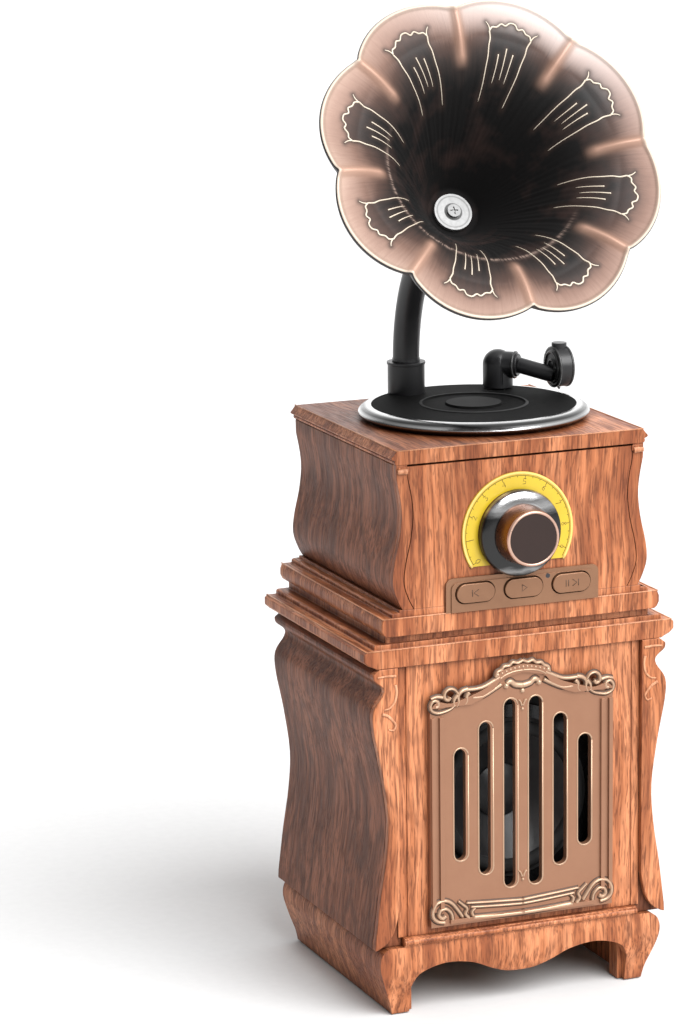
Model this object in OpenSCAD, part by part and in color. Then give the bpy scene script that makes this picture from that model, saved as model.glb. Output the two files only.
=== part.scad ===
// Tower-shaped tabletop loudspeaker with a turntable disc, tonearm and gramophone horn.
// Millimetres. The front faces -Y, +X is the viewer's right, +Z is up, the floor is z = 0.

/* [Cabinet] */
// Width over the widest moulding
cab_w = 100; // [96:1:104]
// Depth from the front panels to the back panels
cab_d = 79.2; // [78:0.2:82]
// Thickness of the back panels
panel_t = 3; // [2.6:0.1:3.2]
// Height of the plinth that stands on the floor
plinth_top = 21.5; // [21:0.1:22]
// Top of the lower cabinet's side walls
lower_top = 106.9; // [106:0.1:107.2]
// Bottom of the upper cabinet
upper_base = 124; // [124:0.1:125]
// Underside of the lid
lid_base = 166.8; // [166.4:0.1:167]
// Thickness of the lid
lid_t = 4.2; // [3.8:0.1:4.2]

/* [Grille] */
// Half-width of the grille plate
grille_hw = 29.6; // [28:0.1:30]
// Width of one slot
slot_w = 4.15; // [3.6:0.05:4.4]
// Distance between neighbouring slots
slot_pitch = 8.05; // [7.8:0.05:8.2]
// Radius of the loudspeaker driver's rim
driver_r = 28.5; // [27:0.5:29]

/* [Controls] */
// Sideways place of the knob's axis, to the left of the middle
knob_x = -1.4; // [-2:0.1:0]
// Height of the knob's axis
knob_z = 144; // [143:0.1:145]
// Outer radius of the dial scale
dial_r = 17.8; // [17:0.1:18.5]
// Height of the three keys
key_z = 127.3; // [127:0.1:127.6]
// Distance between neighbouring keys
key_pitch = 15.4; // [14.8:0.1:15.8]
// Travel of a key
key_travel = 0.7; // [0.4:0.1:0.7]

/* [Turntable] */
// Radius of the turntable disc
disc_r = 34.7; // [33:0.1:36]
// Top of the record that lies on the disc
record_top = 174.9; // [174.6:0.1:175.2]

/* [Horn] */
// Radius of the horn's mouth at the tip of a petal
horn_tip_r = 50.6; // [47:0.1:52]
// Depth of the horn from its mouth to its throat
horn_depth = 40.2; // [36:0.1:44]
// Upward tilt of the horn's axis in degrees
horn_tilt = 31.7; // [28:0.1:36]
// Sideways turn of the horn in degrees, seen from above
horn_yaw = -3.5; // [-10:0.5:10]
// Outer radius of the gooseneck tube
neck_r = 4.2; // [3.8:0.1:4.5]

/* [Hidden] */
$fn = 64;
k = cab_w / 100; // the side profiles follow the cabinet's width
front = -cab_d / 2; // Y of the upper front panel
back = cab_d / 2; // Y of the back panels
over = 1; // how far a cutting shape runs past what it cuts
step_w = 1.4; // width of the panel's lip in front of each side wall
pilaster_t = 2.4; // thickness of a pilaster or corner post
lower_in = 38 * k; // inner face of the lower side walls
upper_in = 34 * k; // inner face of the upper side walls
foot_lift = 0.4; // gap between the plinth and the floor, bridged by the pads
pad_x = lower_in + 0.2; // the pads stand under the corners
pad_y = back - 6.5;
apron_in = 35.5 * k; // inner edge of a front foot
driver_z = 61; // height of the driver's axis
baffle_y = front + 9.5; // front face of the black board that carries the driver
baffle_t = 2;
lid_top = lid_base + lid_t;
panel_low = 24.2; // bottom of the lower panels
lower_mould_top = 112.4; // top of the cornice above the lower cabinet
waist_top = 116.4; // top of the recess between the two mouldings
upper_mould_top = 121.8; // top of the moulding below the upper cabinet
cleat_x = lower_in - 2.8; // battens that take the back panel's screws
cleat_w = 5.6;
cleat_t = 6;
screw_r = 1.2; // shank of a back screw
lower_face = front + 1.8; // front face of the lower front panel
grille_t = 2; // thickness of the grille plate
slot_low = [36, 41, 46.2]; // ends of the slots, from the middle pair to the outer pair
slot_high = [93.7, 87.6, 80.3];
key_hw = 6.05; // half the length of a key
key_r = 2.85; // end radius of a key
key_gap = 0.35; // clearance round a key
flange_y = front + pilaster_t + 0.1; // front of the flange that keeps a key in
stem_y = flange_y + 2.4; // back of a key's stem
switch_y = stem_y + key_travel + 0.1; // front of the small switches
panel_face = front - 1.2; // front face of the button panel
skirt_y = front - 1.7; // back of the knob's skirt
knob_y = skirt_y - 9.5; // front of the knob's barrel
skirt_t = 2.8;
shaft_r = 3;
shaft_in = 3.5; // depth of the shaft's bore in the barrel
face_r = 7.3; // radius of the disc set into the barrel's front
running = 0.05; // radial clearance of a turning fit
disc_x = 2.8; // the turntable disc stands a little right of centre
disc_y = 0.5;
record_t = 0.8;
record_r = disc_r - 4; // radius of the record
disc_top = record_top - record_t;
collar_x = -8.7; // axis about which the horn swivels
collar_y = 25;
collar_top = 184.6;
collar_r = 5.65;
neck_bend_r = 44.8; // radius of the gooseneck's bend
neck_run = 23.3; // straight run from the bend to the throat
neck_bend = 90 - horn_tilt;
throat_y = -neck_bend_r * (1 - cos(neck_bend)) - neck_run * cos(horn_tilt);
throat_z = collar_top + neck_bend_r * sin(neck_bend) + neck_run * sin(horn_tilt);
throat_r = 7.2;
bell_t = 1.2; // thickness of the horn's sheet
lobe_c = 0.51 * horn_tip_r; // distance of a petal's arc centre from the horn's axis
arm_x = 19.6; // axis of the tonearm's post
arm_y = 20;
arm_r = 4.6;
arm_z = 182.3; // height of the tonearm's housing
arm_yaw = -41.5; // direction of the tonearm, counted from +X
housing_l = 6.6; // length of the tonearm's housing along the arm
pivot_r = 2; // pin that the tonearm turns on
pivot_top = 183;
box_x = 34.6; // centre of the soundbox
box_y = 8;
box_r = 6.1;
box_t = 4.8;
ports_z = 43; // height of the rear connectors' axis
port_hw = 25; // half the width of the connector plate
port_hh = 9;
port_t = 1.5;
usb_x = -12; // places of the charging socket, the audio socket and the switch
jack_x = 2;
switch_x = 15;
switch_face = back - panel_t - 0.3; // back of the switch's body
usb_hw = 4.6;
usb_hh = 1.7;
board_top = 40.6; // upper face of the main board
board_t = 1.6;
battery_r = 9.1;
battery_l = 65;
floor_top = 19; // upper face of the bottom board
floor_t = 3;
trough_r = battery_r + 0.1; // the battery lies in a trough in the ribs
battery_z = floor_top + battery_r + 0.4;

wood_light = [0.72, 0.44, 0.29];
wood_dark = [0.45, 0.30, 0.22];
copper = [0.72, 0.50, 0.36];
bronze = [0.45, 0.29, 0.20];
black = [0.06, 0.06, 0.06];
steel = [0.75, 0.75, 0.77];
green = [0.10, 0.30, 0.16];
yellow = [0.93, 0.80, 0.16];

// Smooth curve (Catmull-Rom) through the points p, n steps per span.
function blend(a, b, c, d, t) = 0.5 * (2 * b + (c - a) * t
    + (2 * a - 5 * b + 4 * c - d) * t * t + (3 * b - a - 3 * c + d) * t * t * t);
function curve(p, n = 4) = concat(
    [for (i = [0:len(p) - 2]) for (j = [0:n - 1])
        blend(p[max(i - 1, 0)], p[i], p[i + 1], p[min(i + 2, len(p) - 1)], j / n)],
    [p[len(p) - 1]]);
function flip(p) = [for (i = [len(p) - 1:-1:0]) p[i]];
function sided(p) = [for (q = p) [q[0] * k, q[1]]];

// Right-hand silhouette of the lower side walls, from the cornice to the lower edge.
lower_edge = sided(concat(
    [[45.3, lower_top]],
    curve([[47.3, 105.4], [46.9, 103.6], [44.2, 101.3], [44.3, 99], [47.3, 94.4],
        [47.2, 88], [44.8, 76], [42.9, 62], [43.6, 50], [45.5, 38], [46.8, 28], [47.3, 24]]),
    [[47.4, plinth_top]]));
// Right-hand silhouette of the upper side walls, from the lid to the moulding.
upper_edge = sided(concat(
    [[39.5, lid_base]],
    curve([[39.4, 162.6], [38.2, 156.2], [37.9, 151], [38.7, 144.5], [40.4, 137], [40.8, 131.5],
        [39.4, 127], [37.8, upper_base]])));
// Right-hand silhouette of the plinth and the outline of its front, both down to the floor.
plinth_edge = sided(curve([[42.8, plinth_top], [45.2, 19.6], [45.8, 15.5], [43.9, 9.2],
    [41.9, 4], [41.1, foot_lift]]));
plinth_front = curve([[front + 0.4, plinth_top], [front, 17], [front + 0.5, 12],
    [front + 2.2, 6], [front + 3.2, foot_lift]]);
// Inner edge of a corner post: the wall's silhouette moved inwards.
post_w = 3.4;
post_inner = [for (p = upper_edge) [p[0] - post_w, p[1]]];
// Lower edge of the front apron, from the right foot to the middle.
apron_edge = curve([[apron_in, 8.6], [33.4 * k, 12.4], [28 * k, 14.6], [22.4 * k, 15.1],
    [15.6 * k, 13.9], [9.6 * k, 11.2], [4.5 * k, 9.5], [0, 9.2]]);

// Inner wall of the horn: radius against height above the throat, a cone that flares to petals.
bell_line = curve([[throat_r, 0], [12.4, 8.6], [18.4, 18.4], [24.6, 27.6], [29.2, 32.6],
    [34.5, 36.2], [41, 38.8], [horn_tip_r + 0.6, horn_depth]], 3);
back_holes = [for (sx = [-1, 1], z = [30, 101]) [sx * cleat_x, z]];

// Extrudes an (x, z) outline along Y from y0 to y1.
module slab(y0, y1) {
    translate([0, y1, 0])
        rotate([90, 0, 0])
            linear_extrude(y1 - y0)
                children();
}

// Box given by two opposite corners.
module block(a, b) {
    translate(a)
        cube(b - a);
}

// Disc along Y, its front at y0, its back at y1.
module disc(r, y0, y1, x = 0, z = 0) {
    translate([x, y1, z])
        rotate([90, 0, 0])
            cylinder(r = r, h = y1 - y0);
}

// Solid of revolution about an axis along Y: the outline's second number points to the front.
module turned(y, z, x = 0) {
    translate([x, y, z])
        rotate([90, 0, 0])
            rotate_extrude()
                children();
}

// Outline with round ends, hw and r are half its length and half its width.
module stadium(hw, r, upright = false) {
    rotate(upright ? 90 : 0) {
        square([2 * (hw - r), 2 * r], center = true);
        for (s = [-1, 1])
            translate([s * (hw - r), 0])
                circle(r = r);
    }
}

// ---- plinth and lower cabinet ----

module plinth() {
    foot_in = lower_in - over;
    color(wood_light)
        difference() {
            intersection() {
                slab(front - over, back + over)
                    polygon(concat(plinth_edge, [for (p = flip(plinth_edge)) [-p[0], p[1]]]));
                rotate([90, 0, 90])
                    translate([0, 0, -cab_w / 2])
                        linear_extrude(cab_w)
                            polygon(concat(plinth_front, [[back, foot_lift], [back, plinth_top]]));
            }
            // hollow under the bottom board, with a solid block left in each corner
            difference() {
                block([-lower_in, front + 4, -over], [lower_in, back - 3, plinth_top + over]);
                for (sx = [-1, 1], sy = [-1, 1])
                    translate([sx * foot_in, sy * pad_y, 0])
                        block([-3, -4, -over], [3, 4, floor_top - floor_t]);
            }
            slab(front - over, front + 4 + over)
                polygon(concat([[apron_in, -over]], apron_edge,
                    [for (p = flip(apron_edge)) [-p[0], p[1]]], [[-apron_in, -over]]));
            foot_pads();
        }
}

// Rubber pad under each corner; the plinth's recesses are the pads themselves.
module foot_pads() {
    pad_r = 2.2;
    pad_t = 2;
    color(black)
        for (sx = [-1, 1], sy = [-1, 1])
            translate([sx * pad_x, sy * pad_y, 0])
                cylinder(r = pad_r, h = pad_t);
}

// Board that closes the cabinet below, with a trough for the battery and posts for the board.
module bottom_board() {
    rib_x = 24;
    rib_hw = 2;
    rib_h = 8;
    post_x = 22;
    color(wood_dark)
        difference() {
            union() {
                block([-lower_in, front + 4, floor_top - floor_t], [lower_in, back - 3, floor_top]);
                for (sx = [-1, 1])
                    block([sx * rib_x - rib_hw, -12, floor_top],
                        [sx * rib_x + rib_hw, 12, floor_top + rib_h]);
                for (sx = [-1, 1], y = [17, 31])
                    translate([sx * post_x, y, floor_top])
                        cylinder(r = 2.5, h = board_top - board_t - floor_top);
            }
            rotate([0, 90, 0])
                translate([-battery_z, 0, -lower_in])
                    cylinder(r = trough_r, h = 2 * lower_in);
        }
}

// Moulding across the front: a fillet with a half-round bead.
module bead_moulding() {
    bead_r = 0.9;
    color(wood_light) {
        block([-lower_in, front + 0.2, plinth_top], [lower_in, front + 3, panel_low]);
        translate([-lower_in, front + 0.2, panel_low - bead_r - 0.4])
            rotate([0, 90, 0])
                cylinder(r = bead_r, h = 2 * lower_in);
    }
}

module side_wall() {
    slab(front + pilaster_t, back)
        polygon(concat(lower_edge, [[lower_in, plinth_top], [lower_in, lower_top]]));
}

module side_wall_left() {
    color(wood_dark)
        mirror([1, 0, 0])
            side_wall();
}

module side_wall_right() {
    color(wood_dark)
        side_wall();
}

// Slender leg shape on the front end of a side wall, with a rounded toe.
module pilaster() {
    leg_in = lower_in + step_w;
    slab(front, front + pilaster_t)
        polygon(concat(lower_edge, curve([[46.2 * k, plinth_top + 0.4], [43.2 * k, 23.8],
            [leg_in + 1.4, 28], [leg_in, 35]]), [[leg_in, lower_top]]));
}

module pilaster_left() {
    color(wood_light)
        mirror([1, 0, 0])
            pilaster();
}

module pilaster_right() {
    color(wood_light)
        pilaster();
}

// Front panel with the window behind the grille and a fine line along each side.
module lower_front_panel() {
    window_hw = 3.1 * slot_pitch;
    window_low = 33.5;
    window_high = 94.2;
    line_w = 0.6;
    color(wood_light)
        difference() {
            union() {
                block([-lower_in, lower_face, panel_low],
                    [lower_in, lower_face + panel_t, lower_top]);
                block([-lower_in - step_w, lower_face, panel_low],
                    [lower_in + step_w, front + pilaster_t, lower_top]);
            }
            block([-window_hw, front - over, window_low], [window_hw, front + 5, window_high]);
            for (s = [-1, 1])
                translate([s * (lower_in - 1.4) - line_w / 2, lower_face - over, panel_low - over])
                    cube([line_w, over + 0.4, lower_top - panel_low + 2 * over]);
        }
}

module lower_back_panel() {
    hole_r = 1.6;
    color(wood_dark)
        difference() {
            block([-lower_in, back - panel_t, plinth_top], [lower_in, back, lower_top]);
            for (p = back_holes)
                disc(hole_r, back - panel_t - over, back + over, p[0], p[1]);
            block([-port_hw, back - port_t, ports_z - port_hh],
                [port_hw, back + over, ports_z + port_hh]);
            port_holes();
        }
}

// Holes for the charging socket, the audio socket and the switch's slider.
module port_holes() {
    y0 = back - panel_t - over;
    y1 = back + over;
    translate([usb_x, 0, ports_z])
        slab(y0, y1)
            stadium(usb_hw + 0.4, usb_hh + 0.4);
    disc(3, y0, y1, jack_x, ports_z);
    block([switch_x - 5, y0, ports_z - 2], [switch_x + 5, y1, ports_z + 2]);
}

// Battens inside the side walls that take the back panel's screws.
module back_cleats() {
    color(wood_dark)
        difference() {
            for (s = [-1, 1])
                translate([s * cleat_x - cleat_w / 2, back - panel_t - cleat_t, floor_top + 5])
                    cube([cleat_w, cleat_t, lower_top - floor_top - 8]);
            for (p = back_holes)
                disc(screw_r, back - panel_t - cleat_t, back, p[0], p[1]);
        }
}

module back_screws() {
    head_r = 2.6;
    head_t = 1.3;
    color(steel)
        for (p = back_holes) {
            disc(screw_r, back - panel_t - 5, back + 0.1, p[0], p[1]);
            difference() {
                disc(head_r, back, back + head_t, p[0], p[1]);
                for (a = [0, 90])
                    translate([p[0], back + head_t, p[1]])
                        rotate([0, a, 0])
                            cube([3.2, 1.2, 0.6], center = true);
            }
        }
}

// Black board behind the window that carries the driver.
module baffle_board() {
    color(black)
        difference() {
            block([-lower_in, baffle_y, panel_low], [lower_in, baffle_y + baffle_t, lower_top]);
            disc(driver_r - 4, baffle_y - over, baffle_y + baffle_t + over, 0, driver_z);
        }
}

// ---- mouldings and upper cabinet ----

// Mirrored outline of a moulding board from its right-hand edge points.
module board(edge, y0, y1) {
    e = sided(edge);
    slab(y0, y1)
        polygon(concat(e, [for (p = flip(e)) [-p[0], p[1]]]));
}

module lower_moulding() {
    color(wood_light) {
        board([[45.9, lower_top], [47.2, 107.6], [48.6, 108.2], [50, 109.5], [50, 111.6],
            [49.1, lower_mould_top]], front + 0.2, back + 1.2);
        board([[46.4, lower_mould_top], [46.4, 113.6], [45.9, 114]], front + 1.2, back + 0.6);
        board([[42.4, 114], [42.4, waist_top]], front + 2.2, back);
    }
}

module upper_moulding() {
    color(wood_light) {
        board([[43.1, waist_top], [44, 117], [44.7, 118.4], [44.7, 120.2],
            [44.1, upper_mould_top]], front - 0.6, back + 1.2);
        board([[41.2, upper_mould_top], [41.2, 122.8], [40.6, 123.2]], front, back + 0.5);
        board([[38.9, 123.2], [38.9, upper_base]], front, back);
    }
}

module upper_wall() {
    slab(front + pilaster_t, back)
        polygon(concat(upper_edge, [[upper_in, upper_base], [upper_in, lid_base]]));
}

module upper_wall_left() {
    color(wood_dark)
        mirror([1, 0, 0])
            upper_wall();
}

module upper_wall_right() {
    color(wood_dark)
        upper_wall();
}

// S-shaped post at the front corner, with a small block under the lid.
module corner_post() {
    block_h = 1.5;
    slab(front, front + pilaster_t)
        polygon(concat(upper_edge, flip(post_inner)));
    block([35.6 * k, front - 0.5, lid_base - 0.5 - block_h],
        [39 * k, front + 0.2, lid_base - 0.5]);
}

module corner_post_left() {
    color(wood_light)
        mirror([1, 0, 0])
            corner_post();
}

module corner_post_right() {
    color(wood_light)
        corner_post();
}

module upper_front_panel() {
    seam = 0.25;
    side = [for (p = post_inner) [p[0] - seam, min(p[1], lid_base - 0.6)]];
    color(wood_light)
        difference() {
            slab(front, front + pilaster_t)
                polygon(concat(side, [for (p = flip(side)) [-p[0], p[1]]]));
            disc(shaft_r + 1.2, front - over, front + 4, knob_x, knob_z);
            for (i = [-1:1])
                translate([i * key_pitch, 0, key_z])
                    slab(front - over, front + 4)
                        stadium(key_hw + key_gap, key_r + key_gap);
        }
}

module upper_back_panel() {
    color(wood_dark)
        block([-upper_in, back - panel_t, upper_base], [upper_in, back, lid_base]);
}

// Lid board with a bead and a cove along each side.
module lid() {
    color(wood_light)
        difference() {
            board([[39.4, lid_base], [39.9, lid_base + 0.3], [40, lid_base + 0.9],
                [39.8, lid_base + 1.3], [40.8, lid_base + 1.7], [41, lid_base + 2.2],
                [40.4, lid_base + 2.8], [39.3, lid_top]], front - 0.2, back + 0.2);
            translate([collar_x, collar_y, lid_top - 1.5])
                cylinder(r = neck_r + 0.4, h = 3);
        }
}

// ---- grille and driver ----

// Plate with a crested top edge, a double raised rim along the sides and six slots.
module grille_plate() {
    low = 26.4;
    corner = 93.6;
    rise = curve([[grille_hw, corner], [27.4, 95.4], [23.6, 94.6], [20.2, 95.2], [13, 97.6],
        [9.2, 100.2], [7, 102.6], [3.4, 103.6], [0, 104.2]]);
    face = lower_face - grille_t;
    rim_t = 0.8;
    color(copper)
        difference() {
            union() {
                slab(face, lower_face)
                    polygon(concat([[grille_hw, low]], rise,
                        [for (p = flip(rise)) [-p[0], p[1]]], [[-grille_hw, low]]));
                for (s = [-1, 1], x = [grille_hw - 0.8, grille_hw - 3.4])
                    block([s * x - 0.6, face - rim_t, low + 5], [s * x + 0.6, face, corner - 3]);
                slab(face - rim_t, face)
                    difference() {
                        polygon(concat(rise, [for (p = flip(rise)) [-p[0], p[1]]]));
                        translate([0, -2.6])
                            polygon(concat([[grille_hw + 1, corner - 9]], rise,
                                [for (p = flip(rise)) [-p[0], p[1]]],
                                [[-grille_hw - 1, corner - 9]]));
                    }
                block([-grille_hw + 6, face - rim_t, low + 0.8], [grille_hw - 6, face, low + 2]);
            }
            for (s = [-1, 1], i = [0:2])
                translate([s * (slot_pitch / 2 + i * slot_pitch + 0.27), 0,
                        (slot_low[i] + slot_high[i]) / 2])
                    slab(face - rim_t - over, lower_face + over)
                        stadium((slot_high[i] - slot_low[i]) / 2, slot_w / 2, true);
        }
}

// Steel frame of the driver: a flat rim and a dish with four windows.
module driver_basket() {
    sheet = 1;
    dish = 15;
    color(black)
        difference() {
            turned(baffle_y, driver_z)
                polygon([[driver_r - 4.2, 0], [driver_r, 0], [driver_r, sheet], [driver_r - 5.2, sheet],
                    [driver_r - 5.2, 0], [14, -dish], [8.5, -dish], [8.5, -dish - sheet],
                    [14.6, -dish - sheet]]);
            translate([0, baffle_y + baffle_t + 5.5, driver_z])
                for (a = [45, 135])
                    rotate([0, a, 0])
                        cube([8, 7, 60], center = true);
        }
}

// Half-roll rubber ring between the frame and the cone.
module driver_surround() {
    roll = 1.9;
    mid = driver_r - 5.2 - roll;
    color(black)
        turned(baffle_y - 1, driver_z) {
            translate([mid, 0])
                intersection() {
                    difference() {
                        circle(r = roll + 0.2);
                        circle(r = roll - 0.3);
                    }
                    translate([-3, 0])
                        square([6, 3]);
                }
            translate([mid + roll - 0.3, 0])
                square([1.6, 0.3]);
        }
}

module driver_cone() {
    edge = driver_r - 5.2 - 2 * 1.9 + 0.2;
    color(black)
        turned(baffle_y - 1, driver_z)
            polygon([[edge, 0], [edge, -0.5], [8, -9.5], [7.4, -9.5], [7.4, -9], [edge - 0.6, 0]]);
}

module driver_dust_cap() {
    cap_r = 16;
    sunk = 13.2;
    color(black)
        turned(baffle_y + 7.35, driver_z)
            intersection() {
                translate([0, -sunk])
                    difference() {
                        circle(r = cap_r);
                        circle(r = cap_r - 0.5);
                    }
                square([8.2, 4]);
            }
}

module driver_magnet() {
    gap_y = baffle_y + 16;
    color(steel) {
        disc(16, gap_y, gap_y + 2, 0, driver_z);
        disc(18, gap_y + 2, gap_y + 9, 0, driver_z);
        disc(16, gap_y + 9, gap_y + 11, 0, driver_z);
    }
}

// ---- controls ----

// Arched scale plate, open below and cut level.
module dial_scale() {
    dial_in = 12.7;
    cut = 9.2;
    color(yellow)
        translate([knob_x, 0, knob_z])
            slab(front - 0.5, front)
                difference() {
                    circle(r = dial_r);
                    circle(r = dial_in);
                    translate([-dial_r - over, -dial_r - over])
                        square([2 * (dial_r + over), dial_r + over - cut]);
                }
}

// Rotary control behind the panel, with its threaded bush through the panel.
module encoder() {
    color(steel)
        difference() {
            union() {
                block([knob_x - 6, front + pilaster_t, knob_z - 6],
                    [knob_x + 6, front + pilaster_t + 6, knob_z + 6]);
                disc(shaft_r + 1, front - 0.8, front + pilaster_t, knob_x, knob_z);
            }
            disc(shaft_r + running, front - 2, front + pilaster_t + 4, knob_x, knob_z);
        }
}

module knob_shaft() {
    color(steel)
        disc(shaft_r, skirt_y - skirt_t - shaft_in, front + pilaster_t + 3.9, knob_x, knob_z);
}

// Glossy flange of the knob, domed towards the barrel.
module knob_skirt() {
    skirt_r = 12.9;
    dome = curve([[skirt_r, 0.7], [12.4, 1.7], [11, 2.4], [9.3, skirt_t]]);
    color(black)
        turned(skirt_y, knob_z, knob_x)
            polygon(concat([[shaft_r, 0], [skirt_r, 0]], dome, [[shaft_r, skirt_t]]));
}

// Barrel with a shallow recess in front and a blind bore for the shaft behind.
module knob_barrel() {
    color(bronze)
        turned(skirt_y - skirt_t, knob_z, knob_x)
            polygon([[shaft_r, 0], [8.9, 0], [8.3, 6.3], [7.9, 6.7], [face_r, 6.7], [face_r, 6.1],
                [0, 6.1], [0, shaft_in], [shaft_r, shaft_in]]);
}

module knob_face() {
    color(black)
        disc(face_r, knob_y - 0.2, knob_y + 0.6, knob_x, knob_z);
}

// Plate round the keys: rounded top corners and a stepped rim.
module button_panel() {
    hw = 24.5 * k;
    low = upper_mould_top;
    high = 131.9;
    corner = 2;
    color(bronze)
        difference() {
            union() {
                slab(front - 0.8, front)
                    panel_outline(hw, low, high, corner);
                slab(panel_face, front - 0.8)
                    panel_outline(hw - 1.6, low, high - 1.3, corner);
            }
            for (i = [-1:1])
                translate([i * key_pitch, 0, key_z])
                    slab(panel_face - over, front + over)
                        stadium(key_hw + key_gap, key_r + key_gap);
            disc(0.7, panel_face - over, front + over, 7.9, 130);
        }
}

module panel_outline(hw, low, high, r) {
    translate([-hw, low])
        square([2 * hw, high - low - r]);
    translate([-hw + r, low])
        square([2 * (hw - r), high - low]);
    for (s = [-1, 1])
        translate([s * (hw - r), high - r])
            circle(r = r);
}

// A key: its cap stands proud of the panel, a flange behind the panel keeps it in.
module key(i) {
    proud = 0.7;
    flange_t = 1;
    color(bronze)
        translate([i * key_pitch, 0, key_z]) {
            slab(panel_face - proud, flange_y)
                stadium(key_hw, key_r);
            slab(flange_y, flange_y + flange_t)
                stadium(key_hw + 0.9, key_r + 0.3);
            disc(1.5, flange_y + flange_t, stem_y);
        }
}

module key_previous() {
    key(-1);
}

module key_play() {
    key(0);
}

module key_next() {
    key(1);
}

module key_board() {
    color(green)
        block([-26, switch_y + 3.5, upper_base + 0.4], [26, switch_y + 5.1, 134]);
}

module key_switches() {
    color(black)
        for (i = [-1:1])
            translate([i * key_pitch, 0, key_z]) {
                disc(1.6, switch_y, switch_y + 1.5);
                block([-2.9, switch_y + 1.5, -2.9], [2.9, switch_y + 3.5, 2.9]);
            }
}

module led() {
    color([0.2, 0.4, 0.9])
        disc(0.7, panel_face, front, 7.9, 130);
}

// ---- rear connectors and power ----

module port_plate() {
    color(black)
        difference() {
            block([-port_hw, back - port_t, ports_z - port_hh], [port_hw, back, ports_z + port_hh]);
            port_holes();
        }
}

module main_board() {
    color(green)
        block([-26, 12, board_top - board_t], [26, back - panel_t - 0.4, board_top]);
}

// Socket in a metal shell; its mouth is open to the back.
module charging_inlet() {
    color(steel)
        translate([usb_x, 0, ports_z]) {
            difference() {
                slab(back - 8, back - 0.3)
                    stadium(usb_hw, usb_hh);
                slab(back - 6.5, back)
                    stadium(usb_hw - 0.35, usb_hh - 0.35);
            }
            block([-3, back - 8, board_top - ports_z], [3, back - 5, -1]);
            block([-3.2, back - 6.6, -0.3], [3.2, back - 1.5, 0.3]);
        }
}

module audio_jack() {
    bore_r = 1.75;
    color(black)
        difference() {
            union() {
                block([jack_x - 3, 25, board_top], [jack_x + 3, back - panel_t - 0.5, ports_z + 2.6]);
                disc(2.6, back - panel_t - 1, back - 0.3, jack_x, ports_z);
            }
            disc(bore_r, 27, back + over, jack_x, ports_z);
        }
}

module power_switch() {
    y1 = switch_face;
    color(steel)
        difference() {
            block([switch_x - 5.6, y1 - 6, board_top], [switch_x + 5.6, y1, ports_z + 1.8]);
            block([switch_x - 4.4, y1 - 2.2, ports_z - 1.5],
                [switch_x + 4.4, y1 + over, ports_z + 1.5]);
        }
}

module power_slider() {
    y1 = switch_face;
    color(black) {
        block([switch_x - 4.1, y1 - 1.9, ports_z - 1.2], [switch_x, y1 - 0.3, ports_z + 1.2]);
        block([switch_x - 3.3, y1 - 0.3, ports_z - 0.9], [switch_x - 0.8, back + 0.4, ports_z + 0.9]);
    }
}

module battery() {
    color([0.20, 0.35, 0.62])
        translate([-battery_l / 2, 0, battery_z])
            rotate([0, 90, 0])
                cylinder(r = battery_r, h = battery_l);
}

// ---- turntable ----

module platter() {
    hub_r = 10;
    rim = curve([[33.4, 171.5], [disc_r - 0.2, 172.3], [disc_r, 173.1], [disc_r - 1.2, 174.2],
        [disc_r - 2.6, 174.8], [record_r + 0.1, 174.9]]);
    plate = [[0, lid_top], [hub_r, lid_top], [hub_r, 171.4], [26, 171.4]];
    color(steel)
        difference() {
            translate([disc_x, disc_y, 0])
                rotate_extrude()
                    polygon(concat(plate, rim, [[record_r + 0.1, disc_top], [0, disc_top]]));
            fittings();
        }
}

// Holes in the turntable for the horn's collar and the tonearm's pivot.
module fittings() {
    translate([collar_x, collar_y, lid_top - over])
        cylinder(r = collar_r, h = 10);
    translate([arm_x, arm_y, lid_top - over])
        cylinder(r = 2, h = 10);
}

// Matt black record with a stepped label area.
module record() {
    color(black)
        difference() {
            translate([disc_x, disc_y, 0])
                rotate_extrude()
                    polygon([[0, disc_top], [record_r, disc_top], [record_r, record_top - 0.2],
                        [record_r - 0.4, record_top], [16.6, record_top], [16.2, record_top + 0.3],
                        [15.6, record_top + 0.3], [15.2, record_top - 0.2], [8.7, record_top - 0.2],
                        [8.3, record_top + 0.4], [0, record_top + 0.4]]);
            fittings();
        }
}

// ---- horn ----

// Moves its children from the horn's own frame, mouth up and throat at zero, to the throat.
module at_throat() {
    translate([collar_x, collar_y, 0])
        rotate([0, 0, horn_yaw])
            translate([0, throat_y, throat_z])
                rotate([neck_bend, 0, 0])
                    children();
}

module horn_collar() {
    color(black)
        translate([collar_x, collar_y, 0])
            difference() {
                union() {
                    translate([0, 0, lid_top])
                        cylinder(r = collar_r, h = collar_top - lid_top - 0.8);
                    translate([0, 0, collar_top - 0.8])
                        cylinder(r = collar_r + 0.25, h = 0.8);
                }
                translate([0, 0, lid_top + 1.5])
                    cylinder(r = neck_r + running, h = collar_top - lid_top);
            }
}

// Tube that stands in the collar, bends forward and enters the horn's throat.
module gooseneck() {
    plug_low = lid_top + 1.6;
    tube_r = neck_r - 0.15;
    color(black)
        translate([collar_x, collar_y, 0])
            rotate([0, 0, horn_yaw]) {
                translate([0, 0, plug_low])
                    cylinder(r = neck_r, h = collar_top + 1 - plug_low);
                translate([0, -neck_bend_r, collar_top])
                    rotate([90, 0, 90])
                        rotate_extrude(angle = neck_bend)
                            translate([neck_bend_r, 0])
                                circle(r = tube_r);
                translate([0, throat_y, throat_z])
                    rotate([neck_bend, 0, 0])
                        translate([0, 0, -neck_run - 1])
                            cylinder(r = neck_r, h = neck_run + 1 - bell_t);
            }
}

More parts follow.
